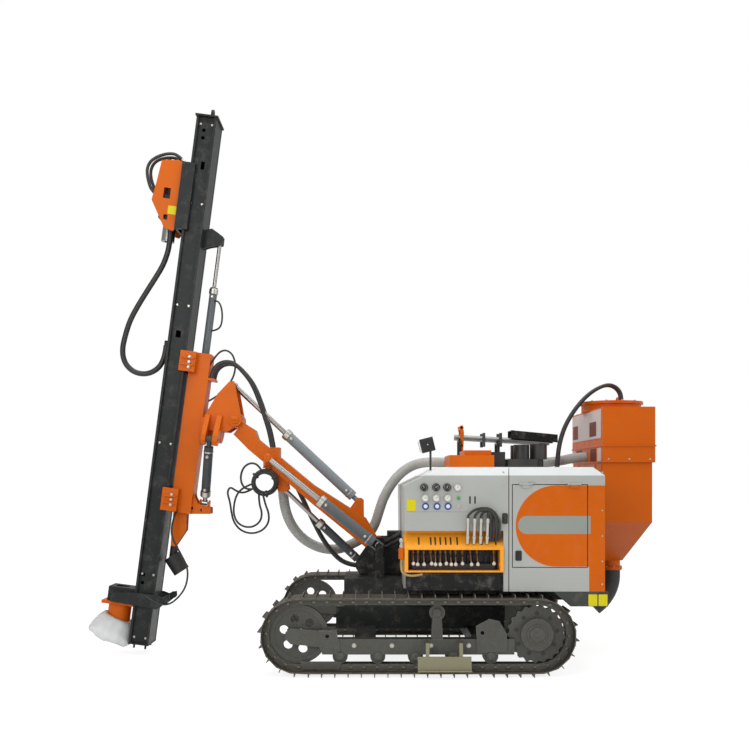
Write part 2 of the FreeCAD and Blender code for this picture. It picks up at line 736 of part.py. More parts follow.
def swing_frame():
    """Directions of the boom swing cylinder: along it, its turning axis, and across both."""
    along = boom_swing_eye - boom_swing_foot
    along.normalize()
    arm = boom_swing_eye - V(swing_x, 0, 0)
    ends = [V(swing_x, 0, 0) + FreeCAD.Rotation(V(0, 0, 1), turn).multVec(arm)
            for turn in (-swing_limit, swing_limit)]
    skew = (ends[0] - boom_swing_foot).cross(ends[1] - boom_swing_foot)
    skew = skew - along * skew.dot(along)
    skew.normalize()
    return along, skew, skew.cross(along)


def swing_clevis():
    """Boss on the boom's left side with the stub pin beside the swing cylinder's rod eye."""
    along, skew, across = swing_frame()
    half = cylinder_sizes["boom_swing"][3]
    eye = boom_swing_eye
    root = V(eye.x + 12, boom_half_width - 20, eye.z - 62)
    boss = rod(root, V(eye.x, eye.y - half - clevis_gap - 14, eye.z - 4), 44)
    plate = rod(eye - across * (half + clevis_gap + 26), eye - across * (half + clevis_gap), 36)
    return fused([boss, plate])


def boom_head():
    """Two side plates from the boom's tip to the mast's swing bearing, with the swing cylinder's ears."""
    tip = mast_local(V(tip_x, 0, tip_z))
    outline = [(-543, 2371), (-515, 2399), (-487, 2385), (-403, 2270), (-341, 2127), (-330, 2109),
               (-330, 1940), (-524, 1950), (-582, 1998), (-640, 2030), (-648, 2064), (-625, 2110)]
    inner = head_plate_inner
    outer = head_plate_inner + head_plate_thick
    parts = both_sides(side_plate(outline, inner, outer))
    parts.append(rod(V(head_rear, 0, swing_axis_z), V(head_front, 0, swing_axis_z), swing_sleeve_radius))
    parts.append(box(head_rear, head_rear + 25, -inner - 1, inner + 1, swing_axis_z - 20, 2230))
    parts.append(side_plate([(head_rear, 2200), (head_front - 25, 2120), (head_front - 5, 2120),
                             (head_front - 45, 2190), (head_rear, 2230)], -inner - 1, inner + 1))
    ear = [(outer - 2, 2080), (outer + 30, 2080), (mast_swing_foot.y + 50, 1900),
           (mast_swing_foot.y + 50, 1850), (mast_swing_foot.y + 25, 1812), (mast_swing_foot.y - 25, 1812),
           (outer - 2, 1850)]
    half = cylinder_sizes["mast_swing"][3]
    x = mast_swing_foot.x
    for x0, x1 in ((x - 75, x - half - side_play), (x + half + side_play, x + 69)):
        parts.append(cross_plate(ear, x0, x1))
    parts.append(rod(V(x - 80, mast_swing_foot.y, mast_swing_foot.z),
                     V(x + 74, mast_swing_foot.y, mast_swing_foot.z), 16))
    half = cylinder_sizes["tilt"][3]
    local_eye = mast_local(tilt_eye)
    for side in (-1, 1):
        parts.append(rod(V(local_eye.x, side * (half + side_play), local_eye.z),
                         V(local_eye.x, side * (inner + 1), local_eye.z), 22))
    parts.append(rod(V(tip.x, -outer - 14, tip.z), V(tip.x, outer + 14, tip.z), tip_pin_radius))
    for side in (-1, 1):
        parts.append(rod(V(tip.x, side * (outer - 1), tip.z), V(tip.x, side * (outer + 10), tip.z), 60))
    body = fused(parts)
    bore = rod(V(head_front - 120, 0, swing_axis_z), V(head_front + 1, 0, swing_axis_z),
               swing_pin_radius + pin_play)
    return on_mast(body.cut(bore))


def cradle():
    """Box beam that carries the mast in two pairs of guides, on the swing plate."""
    beam = box(cradle_rear, cradle_front, -cradle_half_width, cradle_half_width, cradle_low, cradle_high)
    inside = box(cradle_rear + cradle_wall, cradle_front - cradle_wall, -cradle_half_width + cradle_wall,
                 cradle_half_width - cradle_wall, cradle_low + cradle_wall, cradle_high + 1)
    beam = beam.cut(inside)
    floor = box(cradle_rear + 1, cradle_front - 1, -cradle_half_width + 1, cradle_half_width - 1,
                extension_low - 30, extension_low)
    parts = [beam, floor]
    for low, high in guide_places():
        for guide in both_sides(mast_guide(low, high)):
            parts.append(guide)
    plate_rear = cradle_rear - swing_plate_thick
    parts.append(rod(V(plate_rear, 0, swing_axis_z), V(cradle_rear + 2, 0, swing_axis_z),
                     swing_plate_radius))
    parts.append(rod(V(head_front - 110, 0, swing_axis_z), V(plate_rear, 0, swing_axis_z),
                     swing_pin_radius))
    foot = [(cradle_rear + 5, cradle_low), (cradle_rear + 5, 1400), (-310, 1340), (-345, 1290),
            (-460, 1268), (-465, 1212)]
    for plate in both_sides(side_plate(foot, 50, 65)):
        parts.append(plate)
    half = cylinder_sizes["mast_swing"][3]
    eye = mast_swing_eye
    for x0, x1 in ((eye.x - half - 22, eye.x - half - 10), (eye.x + half + 10, eye.x + half + 22)):
        parts.append(box(x0, x1, -51, 51, 1222, 1262))
        parts.append(box(x0, x1, -30, 30, 1262, eye.z))
        parts.append(rod(V(x0, 0, eye.z), V(x1, 0, eye.z), 30))
    parts.append(rod(V(eye.x - half - 22, 0, eye.z), V(eye.x - half - 3, 0, eye.z), 14))
    parts.append(rod(V(eye.x + half + 3, 0, eye.z), V(eye.x + half + 22, 0, eye.z), 14))
    taper = [(-135, cradle_low + 5), (-255, cradle_low + 5), (-268, 1041), (-190, 886), (-150, 886)]
    for plate in both_sides(side_plate(taper, 40, 52)):
        parts.append(plate)
    parts.append(side_plate([(-150, 886), (-190, 886), (-190, 910), (-150, 910)], -52, 52))
    parts.append(box(-250, -140, -52, 52, cradle_low - 15, cradle_low + 5))
    parts.append(box(cradle_rear - 55, cradle_rear + 2, -cradle_half_width, cradle_half_width, 2380, 2400))
    body = fused(parts)
    for x, z in ((-294, 1241), (-381, 1236)):
        body = body.cut(rod(V(x, -80, z), V(x, 80, z), 13))
    return on_mast(body)


def guide_places():
    return ((1200.0, 1400.0), (2428.0, 2606.0))


def mast_guide(low, high):
    """A clamp that wraps the mast's rear rail on one side: arm, cheek and lip, with two ribs."""
    cheek_in = rail_reach + 5
    cheek_out = cheek_in + 20
    rail_front = -mast_half_depth + rail_thick
    cheek = box(-180, rail_front + 26, cheek_in, cheek_out, low, high)
    lip = box(rail_front + 6, rail_front + 26, mast_half_width + 6, cheek_in + 1, low, high)
    arm = box(-180, cradle_front, cradle_half_width - 1, cheek_in + 1, low, high)
    parts = [cheek, lip, arm]
    middle = (low + high) / 2
    for z in (middle - 30, middle + 30):
        parts.append(side_plate([(-170, z - 7), (-60, z - 7), (-60, z + 7), (-170, z + 7)],
                                cheek_out - 1, cheek_out + 16))
    return fused(parts)


def dust_elbow():
    """Rubber stub of the dust line under the cradle."""
    stub = rod(V(-158, -20, 792), V(-264, -20, 668), 74)
    neck = rod(V(-170, -20, 886 - seat_gap), V(-170, -20, 730), 34)
    return on_mast(fused([stub, neck]))


def mast():
    """Hollow column with a rail along each corner, top plate and lifting eye, and the foot plate."""
    depth = mast_half_depth
    width = mast_half_width
    column = box(-depth + 2, depth - 2, -width, width, 12, mast_length - 15)
    inside = box(-depth + 2 + mast_wall, depth - 2 - mast_wall, -width + mast_wall, width - mast_wall,
                 20, mast_length - 20)
    column = column.cut(inside)
    parts = [column]
    for x0 in (-depth, depth - rail_thick):
        for side in (-1, 1):
            y0, y1 = sorted((side * (width - 1), side * rail_reach))
            parts.append(box(x0, x0 + rail_thick, y0, y1, 12, mast_length - 15))
    parts.append(box(-depth - 12, depth + 12, -rail_reach - 12, rail_reach + 12, mast_length - 15,
                     mast_length))
    parts.append(box(-depth - 2, depth + 2, -rail_reach - 2, rail_reach + 2, 0, 12))
    eye_z = mast_length + 62
    eye = rod(V(-28, 0, eye_z), V(-8, 0, eye_z), 40)
    eye = eye.fuse(box(-28, -8, -40, 40, mast_length - 2, eye_z))
    parts.append(eye)
    for x in (-55.0, 45.0):
        parts.append(rod(V(x, 100, -38), V(x, 100, 2), 9))
        parts.append(rod(V(x, -100, -38), V(x, -100, 2), 9))
    strip = box(depth - 4, 118, -16, 16, 495, 1233)
    parts.append(strip)
    bracket = [(-depth + 4, 3530), (-depth - 60, 3560), (extension_x - 30, 3590), (extension_x - 30, 3660),
               (extension_x + 20, 3690), (-depth - 60, 3722), (-depth + 4, 3700)]
    parts.append(box(depth - 4, 129, 30, 82, 2639.7, 2680))
    half = cylinder_sizes["extension"][3]
    for plate in both_sides(side_plate(bracket, half + seat_gap, half + 16)):
        parts.append(plate)
    parts.append(rod(V(extension_x, -half - 20, extension_eye_z), V(extension_x, half + 20, extension_eye_z),
                     14))
    body = fused(parts)
    body = body.cut(rod(V(-30, 0, eye_z), V(0, 0, eye_z), 20))
    for x, z in ((18, 4548), (18, 4481), (41, 614), (41, 543)):
        body = body.cut(rod(V(x, -200, z), V(x, 200, z), 16))
    for x, z, long, wide in ((-12, 4238, 70, 16), (9, 2746, 60, 22)):
        slot = box(x - wide, x + wide, -200, 200, z - long / 2, z + long / 2)
        body = body.cut(slot)
    return on_mast(body)


def foot_clamp():
    """Clamp frame in front of the mast's foot with the guide bore, its arms and two clamp cylinders."""
    front = 330.0
    block = box(mast_half_depth + 0.3, front, -110, 110, 350, 475)
    parts = [block]
    arm = [(front - 40, 350), (front - 40, 430), (60, 452), (-100, 452), (-150, 440), (-215, 470),
           (-225, 430), (-150, 350), (-120, 330), (60, 342)]
    for plate in both_sides(side_plate(arm, rail_reach + 0.3, rail_reach + 20)):
        parts.append(plate)
    parts.append(box(front - 60, front - 40.0, -rail_reach - 20, rail_reach + 20, 350, 430))
    for side in (-1, 1):
        parts.append(rod(V(-190, side * (rail_reach + 10), 430), V(-190, side * (rail_reach + 34), 430), 30))
        parts.append(rod(V(230, side * 109, 410), V(230, side * (rail_reach + 1), 410), 36))
    body = fused(parts)
    return on_mast(body.cut(rod(V(drill_axis_x, 0, 300), V(drill_axis_x, 0, 500), clamp_bore)))


def dust_hood():
    """Orange suction hood under the clamp frame with its flange and the strip back to the mast."""
    flange = box(mast_half_depth + seat_gap, 372, -132, 132, 322, 349.7)
    barrel = rod(V(drill_axis_x, 0, 172), V(drill_axis_x, 0, 330), hood_radius)
    stay = box(mast_half_depth + 2.3, 104, -60, 60, 160, 330)
    body = fused([flange, barrel, stay])
    return on_mast(body.cut(rod(V(drill_axis_x, 0, 100), V(drill_axis_x, 0, 400), hood_bore)))


def dust_skirt():
    """Soft flared skirt round the hood's lower end, its front drawn up."""
    top = V(drill_axis_x, 0, 205)
    low = V(drill_axis_x + 62, 0, 12)
    axis = top - low
    outer = Part.makeCone(skirt_radius, hood_radius + skirt_play + skirt_wall, axis.Length, low, axis)
    inner = Part.makeCone(skirt_radius - skirt_wall, hood_radius + skirt_play, axis.Length + 0.2,
                          low - axis * 0.0005, axis)
    trim = box(-300, mast_half_depth + 6, -400, 400, -200, 400)
    skirt = outer.cut(inner)
    skirt.rotate(low, axis, 7)
    skirt = skirt.cut(trim)
    return on_mast(skirt)


def carriage():
    """Slide plates that grip the mast's front rails, with the plate that carries the rotary head."""
    low = carriage_low
    high = carriage_high
    cheek_in = rail_reach + 5
    rail_rear = mast_half_depth - rail_thick
    parts = [box(135, 155, -cheek_in - 15, cheek_in + 15, low, high)]
    for side in (-1, 1):
        y0, y1 = sorted((side * cheek_in, side * (cheek_in + 15)))
        parts.append(box(rail_rear - 26, 155, y0, y1, low, high))
        y0, y1 = sorted((side * (mast_half_width + 6), side * (cheek_in + 1)))
        parts.append(box(rail_rear - 26, rail_rear - 6, y0, y1, low, high))
        y0, y1 = sorted((side * (mast_half_width + 6), side * (cheek_in + 1)))
        parts.append(box(mast_half_depth + 6, 136, y0, y1, low, low + 90))
        parts.append(box(mast_half_depth + 6, 136, y0, y1, high - 90, high))
    return on_mast(fused(parts))


def head_guard():
    """Orange side plates and front cover round the rotary head."""
    outline = [(343, 4237), (241, 4250), (198, 4256), (156, 4234), (156, 3655), (170, 3631), (249, 3648),
               (389, 3881), (366, 4036)]
    plates = both_sides(side_plate(outline, 128, 140))
    cover = side_plate([(343, 4237), (331, 4230), (354, 4036), (377, 3881), (389, 3881), (366, 4036)],
                       -130, 130)
    back = box(155.3, 163, -140, 140, 3700, 4200)
    body = fused(plates + [cover, back])
    for x, z, long, wide in ((262, 3955, 92, 30), (250, 3745, 44, 18)):
        body = body.cut(box(x - wide, x + wide, -300, 300, z - long / 2, z + long / 2))
    return on_mast(body)


def rotary_head():
    """Gearbox with its two motors and the swivel on top."""
    gearbox = box(163.3, 320, -110, 110, 3740, 3950)
    parts = [gearbox]
    for y in (-58.0, 58.0):
        parts.append(rod(V(drill_axis_x + 10, y, 3950), V(drill_axis_x + 10, y, 4130), 48))
    parts.append(rod(V(drill_axis_x - 20, 0, 3950), V(drill_axis_x - 20, 0, 4190), 26))
    parts.append(rod(V(300, 60, 4290), V(300, 60, 4125), 18))
    body = fused(parts)
    return on_mast(body.cut(rod(V(drill_axis_x, 0, 3700), V(drill_axis_x, 0, 3900), spindle_radius + pin_play)))


def spindle():
    """Spindle with its chuck, turning freely in the gearbox."""
    shaft = rod(V(drill_axis_x, 0, 3600), V(drill_axis_x, 0, 3899), spindle_radius)
    chuck = rod(V(drill_axis_x, 0, 3560), V(drill_axis_x, 0, 3734), chuck_radius)
    body = fused([shaft, chuck])
    return on_mast(body.cut(rod(V(drill_axis_x, 0, 3550), V(drill_axis_x, 0, 3660), 30)))


def cylinder_barrel(name, foot, eye, pin_axis, length, pin_radius):
    """Foot eye with its bore, and the barrel up to the gland."""
    barrel_radius, rod_radius, eye_radius, half = cylinder_sizes[name]
    along = eye - foot
    along.normalize()
    lug = rod(foot - pin_axis * half, foot + pin_axis * half, eye_radius)
    neck = rod(foot + along * (eye_radius * 0.6), foot + along * (barrel_start + 1), half - 2)
    body = rod(foot + along * barrel_start, foot + along * length, barrel_radius)
    body = fused([body, neck, lug])
    body = body.cut(rod(foot + along * (barrel_start + 14), foot + along * (length + 1), rod_radius + 0.2))
    for side in (-1, 1):
        slab = rod(foot + pin_axis * (side * half), foot + pin_axis * (side * (half + 80)), eye_radius + 10)
        body = body.cut(slab)
    return body.cut(rod(foot - pin_axis * 90, foot + pin_axis * 90, pin_radius + pin_play))


def cylinder_rod(name, foot, eye, pin_axis, inside):
    """Rod from inside the barrel to its eye."""
    rod_radius, eye_radius, half = cylinder_sizes[name][1:]
    along = eye - foot
    along.normalize()
    shaft = rod(foot + along * inside, eye - along * (eye_radius * 0.6), rod_radius)
    head = rod(eye - pin_axis * half, eye + pin_axis * half, eye_radius)
    return fused([shaft, head])


def boom_swing_parts():
    """Knuckle, barrel and rod of the boom swing cylinder."""
    along, skew, across = swing_frame()
    foot = boom_swing_foot
    knuckle = rod(foot - skew * 30, foot + skew * 30, 30)
    trunnion = rod(foot - V(0, 62, 0), foot + V(0, 62, 0), trunnion_radius - pin_play)
    knuckle = knuckle.fuse(trunnion).cut(rod(foot - skew * 40, foot + skew * 40, 11 + pin_play))
    barrel_radius, rod_radius = cylinder_sizes["boom_swing"][:2]
    tube_part = rod(foot + along * 66, foot + along * 663, barrel_radius)
    ears = []
    for side in (-1, 1):
        ears.append(rod(foot + skew * (side * 31), foot + skew * (side * 44), 28))
        arm = Part.makeBox(90, 56, 13)
        arm.translate(V(0, -28, -6.5))
        turn = FreeCAD.Rotation(along, skew.cross(along), skew, "XZY")
        arm.rotate(V(0, 0, 0), turn.Axis, math.degrees(turn.Angle))
        arm.translate(foot + skew * (side * 37.5))
        ears.append(arm)
    pin = rod(foot - skew * 44, foot + skew * 44, 11)
    barrel = fused([tube_part, pin] + ears)
    barrel = barrel.cut(rod(foot + along * 80, foot + along * 664, rod_radius + 0.2))
    rod_part = cylinder_rod("boom_swing", foot, boom_swing_eye, across, 300)
    return knuckle, barrel, rod_part


def extension_barrel():
    x = extension_x
    radius = cylinder_sizes["extension"][0]
    body = rod(V(x, 0, extension_low), V(x, 0, extension_joint), radius)
    body = body.cut(rod(V(x, 0, extension_low + 30), V(x, 0, extension_joint + 1),
                        cylinder_sizes["extension"][1] + 0.2))
    return on_mast(body)


def extension_rod():
    x = extension_x
    rod_radius, eye_radius, half = cylinder_sizes["extension"][1:]
    shaft = rod(V(x, 0, extension_joint - 620), V(x, 0, extension_eye_z - 15), rod_radius)
    head = rod(V(x, -half, extension_eye_z), V(x, half, extension_eye_z), eye_radius)
    body = fused([shaft, head])
    return on_mast(body.cut(rod(V(x, -50, extension_eye_z), V(x, 50, extension_eye_z), 14)))


def oil_cooler():
    """Cooler box on the front roof with its raised cap."""
    return fused([box(-687, -304, -300, 300, house_high, 1752), box(-669, -437, -240, 240, 1750, 1795)])


def air_cleaners():
    """Twin air cleaners on their base, the exhaust and the square tank, as solids that don't touch."""
    tank = box(-814, -692, -120, 60, house_high, 1786)
    parts = [box(-1087, -830, -260, 140, house_high, 1720)]
    for y in (-150.0, 40.0):
        parts.append(rod(V(-960, y, 1718), V(-960, y, 1849), 70))
    parts.append(rod(V(-1127, -60, house_high), V(-1127, -60, 1730), 45))
    parts.append(rod(V(-1127, -60, 1722), V(-1127, -60, 1858), 76))
    return Part.makeCompound([fused(parts[:3]), fused(parts[3:]), tank])


def rod_rack():
    """Rack of spare drill rods over the roof, on four feet."""
    parts = []
    for x, z in ((-475.0, 1895.0), (-840.0, 1870.0), (-1250.0, 1850.0)):
        parts.append(box(x - 12, x + 12, -820, -590, z, z + 20))
        for y in (-800.0, -610.0):
            low = house_high
            parts.append(box(x - 12, x + 12, y - 12, y + 12, low, z + 1))
    parts.append(box(-1262, -463, -808, -792, 1650, 1680))
    return fused(parts)


def spare_rods():
    parts = []
    for y in (-770.0, -705.0, -640.0):
        parts.append(rod(V(-1330, y, 1892.3), V(-430, y, 1943.5), 25))
    return Part.makeCompound(parts)


def work_lamp():
    """Square work lamp on a stalk at the front of the roof."""
    stalk = rod(V(-122, 600, 1617.2), V(-122, 600, 1778), 9)
    lamp = box(-150, -40, 545, 655, 1770, 1885)
    lamp.rotate(V(-95, 600, 1828), V(0, 1, 0), 14)
    return fused([stalk, lamp])


# Hose routes, chosen point by point. Those of the head hose are in the mast's own frame.
head_hose_route = [V(205, 90, 3738.5), V(201, 89, 3640), V(196, 88, 3545), V(200, 87, 3450),
                   V(228, 85, 3330), V(280, 82, 3215), V(340, 79, 3090), V(400, 76, 2960),
                   V(455, 72, 2825), V(484, 66, 2680), V(496, 63, 2545), V(459, 61, 2433),
                   V(364, 59, 2363), V(246, 57, 2363), V(150, 56, 2433), V(114, 56, 2545),
                   V(116, 56, 2638.6)]
cradle_hose_route = [V(1779.6, 75, 2434), V(1769.4, 75, 2497.5), V(1731.8, 75, 2549.3),
                     V(1674.8, 75, 2578.4), V(1610.8, 75, 2578.4), V(1553.8, 75, 2549.3),
                     V(1511, 75, 2501.8)]
head_boom_route = [V(1510.8, 75, 2501.6), V(1453.9, 75, 2438.4), V(1405, 75, 2352), V(1366, 75, 2257),
                   V(1330, 75, 2155), V(1296, 75, 2048), V(1265, 75, 1945), V(1245, 75, 1828.6)]
boom_drape_route = [V(1170, -112, 1690), V(1110, -130, 1610), V(1045, -135, 1480), V(970, -135, 1320),
                    V(890, -135, 1150), V(800, -138, 980), V(690, -138, 840), V(590, -140, 775),
                    V(505, -138, 765)]
base_hose_radius = 17
base_hose_route = [V(245, 119, 1000), V(236, 178, 1005), V(207, 227, 1024), V(163, 257, 1051),
                   V(118.5, 266, 1079)]
suction_front_route = [V(1166, -98, 1452), V(1162, -135, 1320), V(1115, -195, 1150), V(1015, -238, 1010),
                       V(880, -259, 925), V(740, -266, 895), V(610, -264, 915), V(500, -258, 975)]
suction_roof_route = [V(499.4, -258, 975.4), V(403, -254, 1028), V(338, -262, 1125), V(300, -273, 1250),
                      V(255, -287, 1385), V(165, -308, 1535), V(40, -335, 1652), V(-110, -365, 1704),
                      V(-300, -390, 1700), V(-600, -400, 1694), V(-950, -405, 1691), V(-1250, -410, 1698),
                      V(-1400, -414, 1716), V(-1515, -419, 1742), V(-1634.5, -424, 1752)]
collector_hose_route = [V(-1337, -300, 1642.5), V(-1342, -300, 1760), V(-1362, -301, 1885),
                        V(-1400, -302, 2010), V(-1460, -303, 2125), V(-1535, -304, 2230),
                        V(-1620, -305, 2320), V(-1712, -306, 2382), V(-1790, -306, 2410.6),
                        V(-1847.6, -306, 2403.5), V(-1895.7, -306, 2371.1), V(-1923.8, -306, 2320.4),
                        V(-1925.8, -306, 2263.1)]


def beside(route, shift):
    return [point + shift for point in route]


def hose_pair(name, route, radius, shift):
    """Two hoses side by side."""
    return Part.makeCompound([hose(name, route, radius), hose(name, beside(route, shift), radius)])


def hose_coil():
    """The spare length coiled and hung under the boom's left side."""
    return Part.makeTorus(coil_ring_radius, coil_thick_radius, coil_centre, V(0, 1, 0))


def hoses():
    across = V(0, 1, 0)
    return {
        "head_hose": on_mast(hose("head_hose", head_hose_route, 24)),
        "cradle_hoses": hose_pair("cradle_hoses", cradle_hose_route, 19, V(0, -150, 0)),
        "head_boom_hoses": hose_pair("head_boom_hoses", head_boom_route, 19, V(0, -150, 0)),
        "boom_drape_hoses": hose_pair("boom_drape_hoses", boom_drape_route, 20, across * -46),
        "base_hoses": hose_pair("base_hoses", base_hose_route, base_hose_radius, V(0, 0, -46)),
        "suction_front": hose("suction_front", suction_front_route, 46),
        "suction_roof": hose("suction_roof", suction_roof_route, 46),
        "collector_hoses": hose_pair("collector_hoses", collector_hose_route, 17, across * 44),
        "hose_coil": hose_coil(),
    }


def nodes():
    lift_axis = V(0, 1, 0)
    forward = mast_point(V(1, 0, 0)) - mast_point(V(0, 0, 0))
    knuckle, swing_barrel, swing_rod = boom_swing_parts()
    side_foot = mast_point(mast_swing_foot)
    side_eye = mast_point(mast_swing_eye)
    built = {
        "chassis_frame": chassis_frame(),
        "boom_base": boom_base(),
        "control_housing": control_housing(),
        "engine_housing": engine_housing(),
        "engine_block": engine_block(),
        "lever_console": lever_console(),
        "console_levers": console_levers(),
        "oil_cooler": oil_cooler(),
        "air_cleaners": air_cleaners(),
        "rod_rack": rod_rack(),
        "spare_rods": spare_rods(),
        "work_lamp": work_lamp(),
        "collector_body": collector_body(),
        "collector_box": collector_box(),
        "collector_elbow": collector_elbow(),
        "footstep": footstep(),
        "side_door_left": side_door(),
        "side_door_right": mirrored(side_door()),
        "swing_bracket": swing_bracket(),
        "boom": boom(),
        "boom_head": boom_head(),
        "cradle": cradle(),
        "dust_elbow": dust_elbow(),
        "mast": mast(),
        "foot_clamp": foot_clamp(),
        "dust_hood": dust_hood(),
        "dust_skirt": dust_skirt(),
        "carriage": carriage(),
        "head_guard": head_guard(),
        "rotary_head": rotary_head(),
        "spindle": spindle(),
        "lift_barrel": cylinder_barrel("lift", lift_foot, lift_eye, lift_axis, 560, 18),
        "lift_rod": cylinder_rod("lift", lift_foot, lift_eye, lift_axis, 240),
        "tilt_barrel": cylinder_barrel("tilt", tilt_foot, tilt_eye, lift_axis, 901, 16),
        "tilt_rod": cylinder_rod("tilt", tilt_foot, tilt_eye, lift_axis, 560),
        "boom_swing_knuckle": knuckle,
        "boom_swing_barrel": swing_barrel,
        "boom_swing_rod": swing_rod,
        "mast_swing_barrel": cylinder_barrel("mast_swing", side_foot, side_eye, forward, 540, 16),
        "mast_swing_rod": cylinder_rod("mast_swing", side_foot, side_eye, forward, 300),
        "extension_barrel": extension_barrel(),
        "extension_rod": extension_rod(),
    }
    built.update(hoses())
    for name, make in (("track", track), ("track_frame", track_frame)):
        shape = make()
        built[name + "_left"] = shape
        built[name + "_right"] = mirrored(shape)
    for name, make in (("sprockets", sprocket), ("idlers", idler), ("track_rollers", rollers)):
        built[name] = Part.makeCompound(both_sides(make()))
    return built


def main():
    os.makedirs("parts", exist_ok=True)
    for name, shape in nodes().items():
        if not shape.isValid():
            print("not valid", name)
        shape.exportStep("parts/" + name + ".step")
        print(name, "solids", len(shape.Solids), "volume", round(shape.Volume / 1e6, 2), "litres")


main()
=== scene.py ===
import math

import bmesh
import bpy
import numpy as np
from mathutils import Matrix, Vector


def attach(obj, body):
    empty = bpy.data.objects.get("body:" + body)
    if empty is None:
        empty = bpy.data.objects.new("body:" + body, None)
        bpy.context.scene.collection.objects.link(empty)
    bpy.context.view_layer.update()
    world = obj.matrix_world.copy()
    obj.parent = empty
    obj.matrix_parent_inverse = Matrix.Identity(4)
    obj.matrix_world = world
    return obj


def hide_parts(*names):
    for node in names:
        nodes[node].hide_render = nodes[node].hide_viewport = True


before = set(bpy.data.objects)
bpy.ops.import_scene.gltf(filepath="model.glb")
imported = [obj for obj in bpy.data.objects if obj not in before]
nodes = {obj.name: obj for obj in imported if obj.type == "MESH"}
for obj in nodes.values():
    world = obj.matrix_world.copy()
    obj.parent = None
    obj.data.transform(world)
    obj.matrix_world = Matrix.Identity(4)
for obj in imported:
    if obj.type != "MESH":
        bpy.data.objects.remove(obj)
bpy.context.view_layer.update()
print("frame loaded", len(nodes), "nodes")

# Everything is in metres: X forward to the mast, Y to the operator's left, Z up from the ground.
mastPlace = {"foot": (2.409, 0.0, 0.095), "lean": -7.42}


def onMast(points):
    # from the mast's own frame to the rig's: turn about Y by the lean, then move to the foot
    p = np.asarray(points, float)
    turn = math.radians(mastPlace["lean"])
    x = p[..., 0] * math.cos(turn) + p[..., 2] * math.sin(turn)
    z = -p[..., 0] * math.sin(turn) + p[..., 2] * math.cos(turn)
    return np.stack([x, p[..., 1], z], -1) + np.array(mastPlace["foot"])


# ---- materials


def toLinear(hexText):
    # sRGB hex to linear RGBA
    channels = [int(hexText[i:i + 2], 16) / 255 for i in (1, 3, 5)]
    return [c / 12.92 if c <= 0.04045 else ((c + 0.055) / 1.055) ** 2.4 for c in channels] + [1.0]


def setInputs(tree, node, inputs):
    # sockets are linked, all else is a plain value
    for key, value in inputs.items():
        if isinstance(value, bpy.types.NodeSocket):
            tree.links.new(value, node.inputs[key])
        else:
            node.inputs[key].default_value = value


def addNode(tree, kind, inputs, output=0, **settings):
    # one node with its settings and inputs, given back as the output that is wanted
    node = tree.nodes.new("ShaderNode" + kind)
    for key, value in settings.items():
        setattr(node, key, value)
    setInputs(tree, node, inputs)
    return node.outputs[output]


def startMaterial(name, roughness, metallic, grains, stretch=None, **values):
    # a material with a noise for each grain: the width of its features in mm, its detail and its roughness
    material = bpy.data.materials.new(name)
    material.use_nodes = True
    tree = material.node_tree
    shader = tree.nodes["Principled BSDF"]
    values.update(Roughness=roughness, Metallic=metallic)
    setInputs(tree, shader, {key.replace("_", " "): value for key, value in values.items()})
    place = addNode(tree, "TexCoord", {}, "Object")
    if stretch:
        place = addNode(tree, "Mapping", {"Vector": place, "Scale": stretch})
    noises = [addNode(tree, "TexNoise", {"Vector": place, "Scale": 500.0 / width, "Detail": detail,
                                         "Roughness": rough}) for width, detail, rough in grains]
    return tree, shader, place, noises


def layered(tree, colour, layers):
    # colours laid over the first one in turn, each by its share
    for share, over, blend in layers:
        colour = addNode(tree, "Mix", {0: share, 6: colour, 7: over}, 2, data_type="RGBA", blend_type=blend)
    return colour


def roundedNormal(tree, radius, height, strength, distance):
    # rounded edges from the bevel normal, with a bump over them
    normal = addNode(tree, "Bevel", {"Radius": radius}, samples=4)
    return addNode(tree, "Bump", {"Height": height, "Normal": normal, "Strength": strength,
                                  "Distance": distance})


def edgeMask(tree, radius, sharp=6.0):
    # 1 on edges, where the bevel normal leaves the face's own normal
    bevel = addNode(tree, "Bevel", {"Radius": radius}, samples=4)
    own = addNode(tree, "NewGeometry", {}, "Normal")
    dot = addNode(tree, "VectorMath", {0: bevel, 1: own}, "Value", operation="DOT_PRODUCT")
    return addNode(tree, "Math", {0: dot, 1: -sharp, 2: sharp}, operation="MULTIPLY_ADD", use_clamp=True)


def stepAt(tree, value, limit, under=0.0, over=1.0, soft=0.0004):
    # under below the limit and over above it, with an edge about soft wide
    return addNode(tree, "MapRange", {"Value": value, 1: limit - soft / 2, 2: limit + soft / 2,
                                      3: under, 4: over})


def enamel(name, hexColour, roughness=0.36, dust="#a3988a", dustShare=0.12, edge=0.004, zones=None):
    # sprayed enamel on steel plate: an even colour, a slight orange peel and fine dust
    tree, shader, place, (broad, speck, peel) = startMaterial(
        name, roughness, 0.0, [(420, 4, 0.55), (38, 6, 0.7), (7, 1, 0.55)],
        Coat_Weight=0.03, Coat_Roughness=0.25, Specular_IOR_Level=0.16)
    colour = zones(tree, place, toLinear(hexColour)) if zones else toLinear(hexColour)
    tone = addNode(tree, "MapRange", {"Value": broad, 1: 0.3, 2: 0.7, 3: 0.93, 4: 1.05})
    dusty = addNode(tree, "MapRange", {"Value": speck, 1: 0.5, 2: 0.78, 3: 0.0, 4: dustShare})
    sheen = addNode(tree, "MapRange", {"Value": speck, 1: 0.3, 2: 0.8, 3: roughness - 0.05,
                                       4: roughness + 0.16})
    colour = layered(tree, colour, [(1.0, tone, "MULTIPLY"), (dusty, toLinear(dust), "MIX")])
    setInputs(tree, shader, {"Base Color": colour, "Roughness": sheen,
                             "Normal": roundedNormal(tree, edge, peel, 0.1, 0.0006)})


